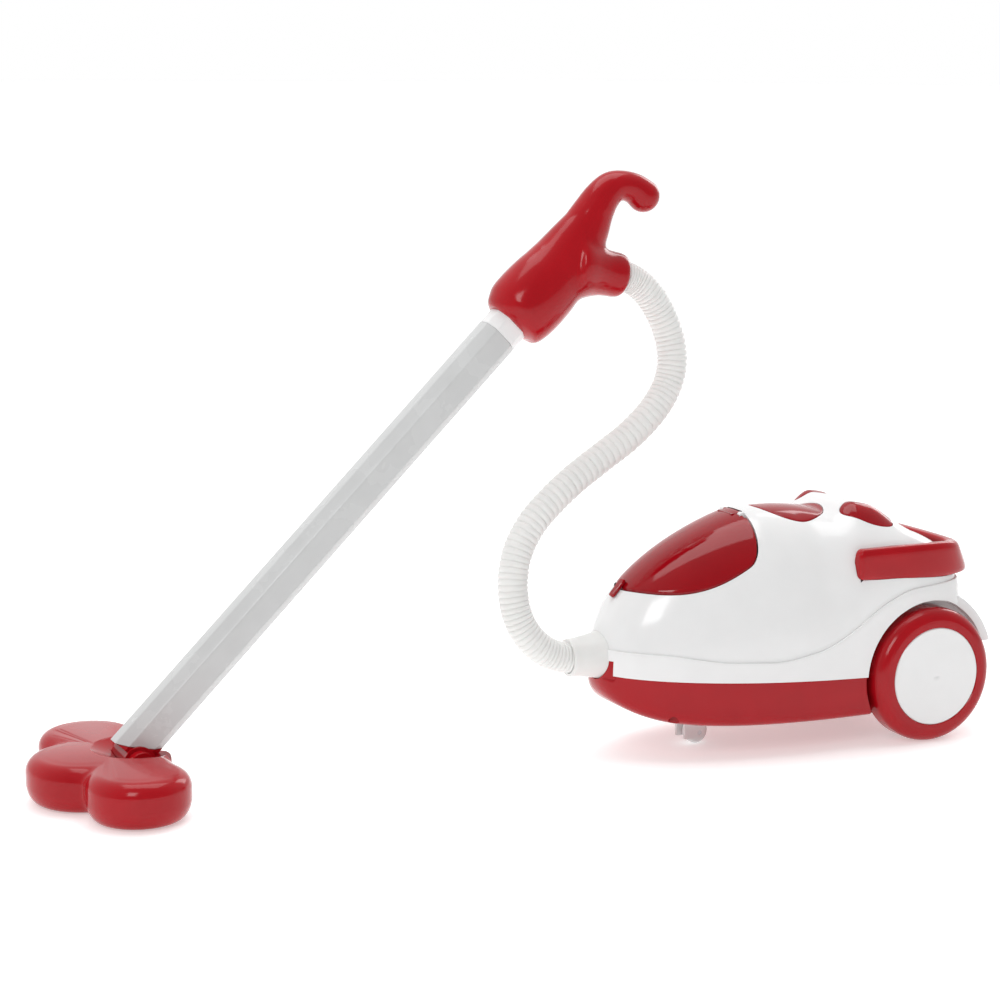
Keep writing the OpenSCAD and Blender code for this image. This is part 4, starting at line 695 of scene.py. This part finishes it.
button = patch("power_button_skin", oval(ROUND, 0), 0.4, 5.2, bulge=1.2, edge=0.8)
shade(button, angle=40)
BUTTON_TRAVEL = 2
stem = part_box("switch")[1].z * 1000 + MOVE + BUTTON_TRAVEL
combine(button, tube("stem", [-BUTTON_X, 0, stem], [-BUTTON_X, 0, 151], 4, 40), "UNION")
shade(button, angle=40)
stand_in(button, "power_button")
for s, node in ((-1, "left_lens"), (1, "right_lens")):
    lens = patch(node + "_skin", almond(ROUND, 0, s), 0.3, 2.4, bulge=LENS_BULGE, edge=0.6, rows=18)
    stand_in(shade(lens, angle=40), node)

# wand
LEAN = math.radians(44.4)
PIVOT = np.array([-514.5, 44, 22.5])
PIVOT_DROP = 5.1


def wand(p):
    """From the wand's own frame, X up the tube and Z square to it, to the canister's frame."""
    p = np.atleast_2d(np.asarray(p, float))
    c, s = math.cos(LEAN), math.sin(LEAN)
    x, z = p[:, 0], p[:, 2] + PIVOT_DROP
    return PIVOT + np.c_[x * c - z * s, p[:, 1], x * s + z * c]


TUBE_W, TUBE_D, BEVEL, TUBE_WALL, TUBE_FOOT, MITRE, TUBE_TOP, MOUTH = 26, 22, 6, 1.6, -0.8, 17, 351.4, 362.4


def bevel_box(g, soft=0.9):
    """Eight-sided outline of the tube with its corners rounded, as pairs of height and side."""
    a, b, c = TUBE_W / 2 + g, TUBE_D / 2 + g, BEVEL + 0.59 * g
    p = np.array([[a, b - c], [a - c, b], [c - a, b], [-a, b - c],
                  [-a, c - b], [c - a, -b], [a - c, -b], [a, c - b]])
    out = []
    for i in range(8):
        u, v, w = p[i - 1], p[i], p[(i + 1) % 8]
        s = v + (u - v) / np.linalg.norm(u - v) * soft
        e = v + (w - v) / np.linalg.norm(w - v) * soft
        for k in np.linspace(0, 1, 6):
            out.append((1 - k) ** 2 * s + 2 * k * (1 - k) * v + k * k * e)
    return np.array(out)


def tube_rings(rows, soft=0.9):
    """Rings of the tube's outline at distances up the wand, grown by a margin, square to it or mitred."""
    out = []
    for d, g, *mitred in rows:
        o = bevel_box(g, soft)
        lean = MITRE * (0.5 + o[:, 0] / TUBE_W) if mitred else 0
        out.append(wand(np.c_[d + lean + np.zeros(len(o)), o[:, 1], -o[:, 0]]))
    return out


def sleeve(name, rows, wall_rows):
    rings = tube_rings(rows) + tube_rings(wall_rows[::-1])
    n = len(rings[0])
    k = len(rings)
    last = (k - 1) * n
    ends = [(last + i, last + (i + 1) % n, (i + 1) % n, i) for i in range(n)]
    return solid(name, np.concatenate(rings), band(k, n) + ends)


long_rows = [(d, 0) for d in np.linspace(TUBE_FOOT + MITRE + 4, TUBE_TOP - 0.4, 38)]
pipe = sleeve("bevelled_tube",
              [(TUBE_FOOT, -0.4, True), (TUBE_FOOT + 0.5, 0, True), *long_rows, (TUBE_TOP, -0.35)],
              [(TUBE_FOOT, -TUBE_WALL, True), (TUBE_TOP, -TUBE_WALL)])
stand_in(shade(pipe, angle=24), "wand_tube")
COLLAR_TOP = MOUTH + 26
cuff = sleeve("tube_collar_skin",
              [(TUBE_TOP - 22, -1.75), (TUBE_TOP + 0.1, -1.7), (TUBE_TOP + 0.1, -0.4), (TUBE_TOP + 0.5, 0),
               (COLLAR_TOP, 0)],
              [(TUBE_TOP - 22, -3.2), (COLLAR_TOP, -3.2)])
stand_in(shade(cuff, angle=24), "tube_collar")

# handle: a swept body with a flared branch, flowing into each other
SPINE = [[0, 0, 15.5, 14], [3, 0, 20.5, 19], [9, -0.5, 23.5, 22], [20, -1, 24.5, 23], [36, -1.5, 24, 22],
         [50, -0.5, 21.5, 20], [64, 1, 19.5, 17], [79, 3, 17, 14.5], [91, 6.5, 14, 13], [102, 9, 12, 11.8],
         [112, 8.5, 10.8, 10.6], [119, 3.5, 9.8, 10], [123.5, -4, 10, 10], [125, -12, 10.8, 10.8]]
OUTLET, OUTLET_TURN, OUTLET_R = (MOUTH + 78, -38.5), math.radians(33.6), 15


def handle_sweep():
    p = spline(SPINE, 170)
    p[:, 0] += MOUTH
    d = directions(p[:, :2])
    t = np.linspace(0, 2 * np.pi, 56, endpoint=False)
    rings = [np.c_[q[0] - v[1] * q[2] * np.cos(t), q[3] * np.sin(t), q[1] + v[0] * q[2] * np.cos(t)]
             for q, v in zip(p, d)]
    q, v = p[-1], d[-1]
    for a in np.radians(np.linspace(6, 84, 14)):
        c, r = q[:2] + v * q[2] * math.sin(a), q[2] * math.cos(a)
        rings.append(np.c_[c[0] - v[1] * r * np.cos(t), r * np.sin(t), c[1] + v[0] * r * np.cos(t)])
    tip = [*(q[:2] + v * q[2])]
    rings = [wand(r) for r in rings]
    return lathe_like("handle_body", rings, tip=wand([tip[0], 0, tip[1]])[0])


def outlet_axis(r, h, n=64):
    """A ring round the outlet's axis, at a depth behind its face."""
    t = np.linspace(0, 2 * np.pi, n, endpoint=False)
    x, z = r * np.cos(t), np.full(n, float(h))
    c, s = math.cos(OUTLET_TURN), math.sin(OUTLET_TURN)
    return wand(np.c_[OUTLET[0] + x * c - z * s, r * np.sin(t), OUTLET[1] + x * s + z * c])


def outlet_sweep():
    rows = [(OUTLET_R - 3 + 3 * math.sin(a), 3 - 3 * math.cos(a)) for a in np.radians(np.linspace(0, 90, 9))]
    rows += [(OUTLET_R, 10), (OUTLET_R + 0.5, 16), (OUTLET_R + 3, 24), (OUTLET_R + 7, 33), (OUTLET_R + 9, 40),
             (1, 46)]
    return lathe_like("outlet", [outlet_axis(r, h) for r, h in rows])


grip_body = combine(handle_sweep(), outlet_sweep(), "UNION")
m = grip_body.modifiers.new("even", "REMESH")
m.mode, m.voxel_size = "VOXEL", 0.0011
settle(grip_body)
bm = bmesh.new()
bm.from_mesh(grip_body.data)
near_branch = metres(outlet_axis(0.01, 26, 3)[0])
soft_verts = [v for v in bm.verts if (v.co - Vector(near_branch)).length < 0.040]
for _ in range(30):
    bmesh.ops.smooth_vert(bm, verts=soft_verts, factor=0.5,
                          use_axis_x=True, use_axis_y=True, use_axis_z=True)
for _ in range(4):
    bmesh.ops.smooth_vert(bm, verts=bm.verts, factor=0.5, use_axis_x=True, use_axis_y=True, use_axis_z=True)
bm.to_mesh(grip_body.data)
bm.free()
combine(grip_body, lathe_like("mouth_cut", tube_rings([(MOUTH - 6, 0.1), (COLLAR_TOP + 0.2, 0.1)])))
combine(grip_body, lathe_like("bore_cut", [outlet_axis(10.4, h) for h in (-3, 22)]))
for s, node in ((-1, "handle_near"), (1, "handle_far")):
    half = grip_body.copy()
    half.data = grip_body.data.copy()
    half.name = node + "_skin"
    scene.collection.objects.link(half)
    y = (44 + s * 0.03, 44 + s * 70)
    combine(half, box("keep", (-420, min(y), 200), (-100, max(y), 420)), "INTERSECT")
    stand_in(shade(half, angle=38), node)
bpy.data.objects.remove(grip_body)

# floor head
HEAD_X, HEAD_Y, HEAD_H, SHOULDER, INSET, GIRTH, HEAD_WALL, VALLEY = -530, 44, 30.5, 9.5, 10, 14, 2.4, 3.0
LOBES = [(-14, 0, 37), (2.5, 52, 31.5), (2.5, -52, 31.5), (15, 0, 24), (8, 30, 24), (8, -30, 24)]
HT = np.linspace(0, 2 * np.pi, 288, endpoint=False)


def head_depth(x, y):
    """Distance inwards from the outline of lobes that run together in soft valleys."""
    return VALLEY * np.log(sum(np.exp((r - np.hypot(x - a, y - b)) / VALLEY) for a, b, r in LOBES))


def head_ring(inset, z):
    lo, hi = np.zeros(len(HT)), np.full(len(HT), 120.0)
    for _ in range(30):
        r = (lo + hi) / 2
        deep = head_depth(r * np.cos(HT), r * np.sin(HT)) > inset
        lo, hi = np.where(deep, r, lo), np.where(deep, hi, r)
    return np.c_[HEAD_X + r * np.cos(HT), HEAD_Y + r * np.sin(HT), np.full(len(HT), float(z))]


foot_rows = [((INSET - 1.5) * (1 - math.sin(a)), GIRTH - (GIRTH - 0.8) * math.cos(a))
             for a in np.radians(np.linspace(0, 84, 14))]
arc = [(SHOULDER * (1 - math.cos(a)), HEAD_H - SHOULDER - 1 + SHOULDER * math.sin(a))
       for a in np.radians(np.linspace(0, 90, 14))]
flat = [(SHOULDER + k, HEAD_H - 1 + 0.6 * k / 5) for k in (2.5, 5)]
head = lathe_like("floor_head_skin", [head_ring(*r) for r in [*foot_rows, *arc, *flat]],
                  tip=[HEAD_X, HEAD_Y, HEAD_H], foot=[HEAD_X, HEAD_Y, 0.8])
head_face = Surface(head)
SLOT, CHEEK, CHEEK_R = 13.4, 7, 8.5
DISH_RIM, DISH_DEPTH = 28, 7
DISH_R = (DISH_RIM ** 2 + DISH_DEPTH ** 2) / (2 * DISH_DEPTH)


def dish(grow):
    """The bowl in the head's top, as the lower part of a large ball."""
    t = np.linspace(0, 2 * np.pi, 128, endpoint=False)
    c = np.array([PIVOT[0] + 2.5, HEAD_Y, HEAD_H - 0.5 - DISH_DEPTH + DISH_R])
    r = DISH_R + grow
    rows = [c + np.c_[r * math.sin(a) * np.cos(t), r * math.sin(a) * np.sin(t),
                      np.full(len(t), -r * math.cos(a))]
            for a in np.radians(np.linspace(1, 60, 48))]
    return lathe_like("dish", rows, foot=c - [0, 0, r])


combine(head, dish(0))
for s in (-1, 1):
    a, b = PIVOT + [0, s * SLOT, 0], PIVOT + [0, s * (SLOT + CHEEK), 0]
    combine(head, tube("cheek", a, b, CHEEK_R, 64), "UNION")
combine(head, tube("barrel_room", PIVOT - [0, SLOT, 0], PIVOT + [0, SLOT, 0], 10.9, 64))
swing = [(-9.5, 2.8), (-18.3, 6.6), (-20, 14), (-14, 60), (60, 60), (60, 22.6), (8, -7.4)]
swing_rings = [np.array([PIVOT + [x, y, z] for x, z in swing]) for y in (-SLOT, SLOT)]
combine(head, lathe_like("swing_room", swing_rings))
under = [head_ring(INSET + 0.2, -1), head_ring(INSET + 0.2, 3.1), head_ring(HEAD_WALL + 2.5, 8),
         head_ring(HEAD_WALL + 0.3 * SHOULDER, HEAD_H - 7), head_ring(HEAD_WALL + SHOULDER, HEAD_H - 3)]
cavity = lathe_like("cavity", under, tip=[HEAD_X, HEAD_Y, HEAD_H - 2.6], foot=[HEAD_X, HEAD_Y, -1])
combine(cavity, box("pivot_block", PIVOT + [-18, -SLOT - CHEEK, 3.1 - PIVOT[2]],
                    PIVOT + [42, SLOT + CHEEK, 60]))
combine(cavity, dish(HEAD_WALL))
combine(head, cavity)
combine(head, tube("pin_hole", PIVOT - [0, 21, 0], PIVOT + [0, 21, 0], 2.55, 40))
shade(head, [head_face], angle=30)
stand_in(head, "head_top")

# floor, light
corners = [[-30000, -20000, 0], [30000, -20000, 0], [30000, 60000, 0], [-30000, 60000, 0]]
floor = solid("floor", corners, [(0, 1, 2, 3)])
paper = plastic("floor_paper", (0.82, 0.82, 0.82), 0.6, vary=0.01, mottle=3, coat=0)
paper.node_tree.nodes["Principled BSDF"].inputs["Emission Color"].default_value = (1, 1, 1, 1)
paper.node_tree.nodes["Principled BSDF"].inputs["Emission Strength"].default_value = 0.42
floor.data.materials.append(paper)

# the studio is white behind the toy and darker behind the camera
world = bpy.data.worlds.new("world")
scene.world = world
world.use_nodes = True
wt = world.node_tree
coord = wt.nodes.new("ShaderNodeTexCoord")
split = wt.nodes.new("ShaderNodeSeparateXYZ")
wt.links.new(coord.outputs["Generated"], split.inputs["Vector"])
fade = wt.nodes.new("ShaderNodeMapRange")
fade.inputs["From Min"].default_value = -0.7
fade.inputs["From Max"].default_value = 0.5
fade.inputs["To Min"].default_value = 0.3
fade.inputs["To Max"].default_value = 1.0
wt.links.new(split.outputs["Y"], fade.inputs["Value"])
wt.links.new(fade.outputs["Result"], wt.nodes["Background"].inputs["Strength"])
wt.nodes["Background"].inputs["Color"].default_value = (1, 1, 1, 1)


def softbox(name, place, target, width, height, power):
    light = bpy.data.lights.new(name, "AREA")
    light.shape, light.size, light.size_y, light.energy = "RECTANGLE", width, height, power
    obj = bpy.data.objects.new(name, light)
    scene.collection.objects.link(obj)
    obj.location = place
    obj.rotation_mode = "QUATERNION"
    obj.rotation_quaternion = (Vector(target) - Vector(place)).to_track_quat("-Z", "Y")


softbox("key", (-1.3, -1.6, 1.5), (0, 0, 0.1), 0.7, 1.0, 14)
softbox("top", (0.1, 0.2, 1.9), (0, 0, 0.1), 1.6, 1.2, 16)
softbox("rim", (1.5, 0.8, 1.0), (0.1, 0, 0.1), 0.6, 1.0, 6)
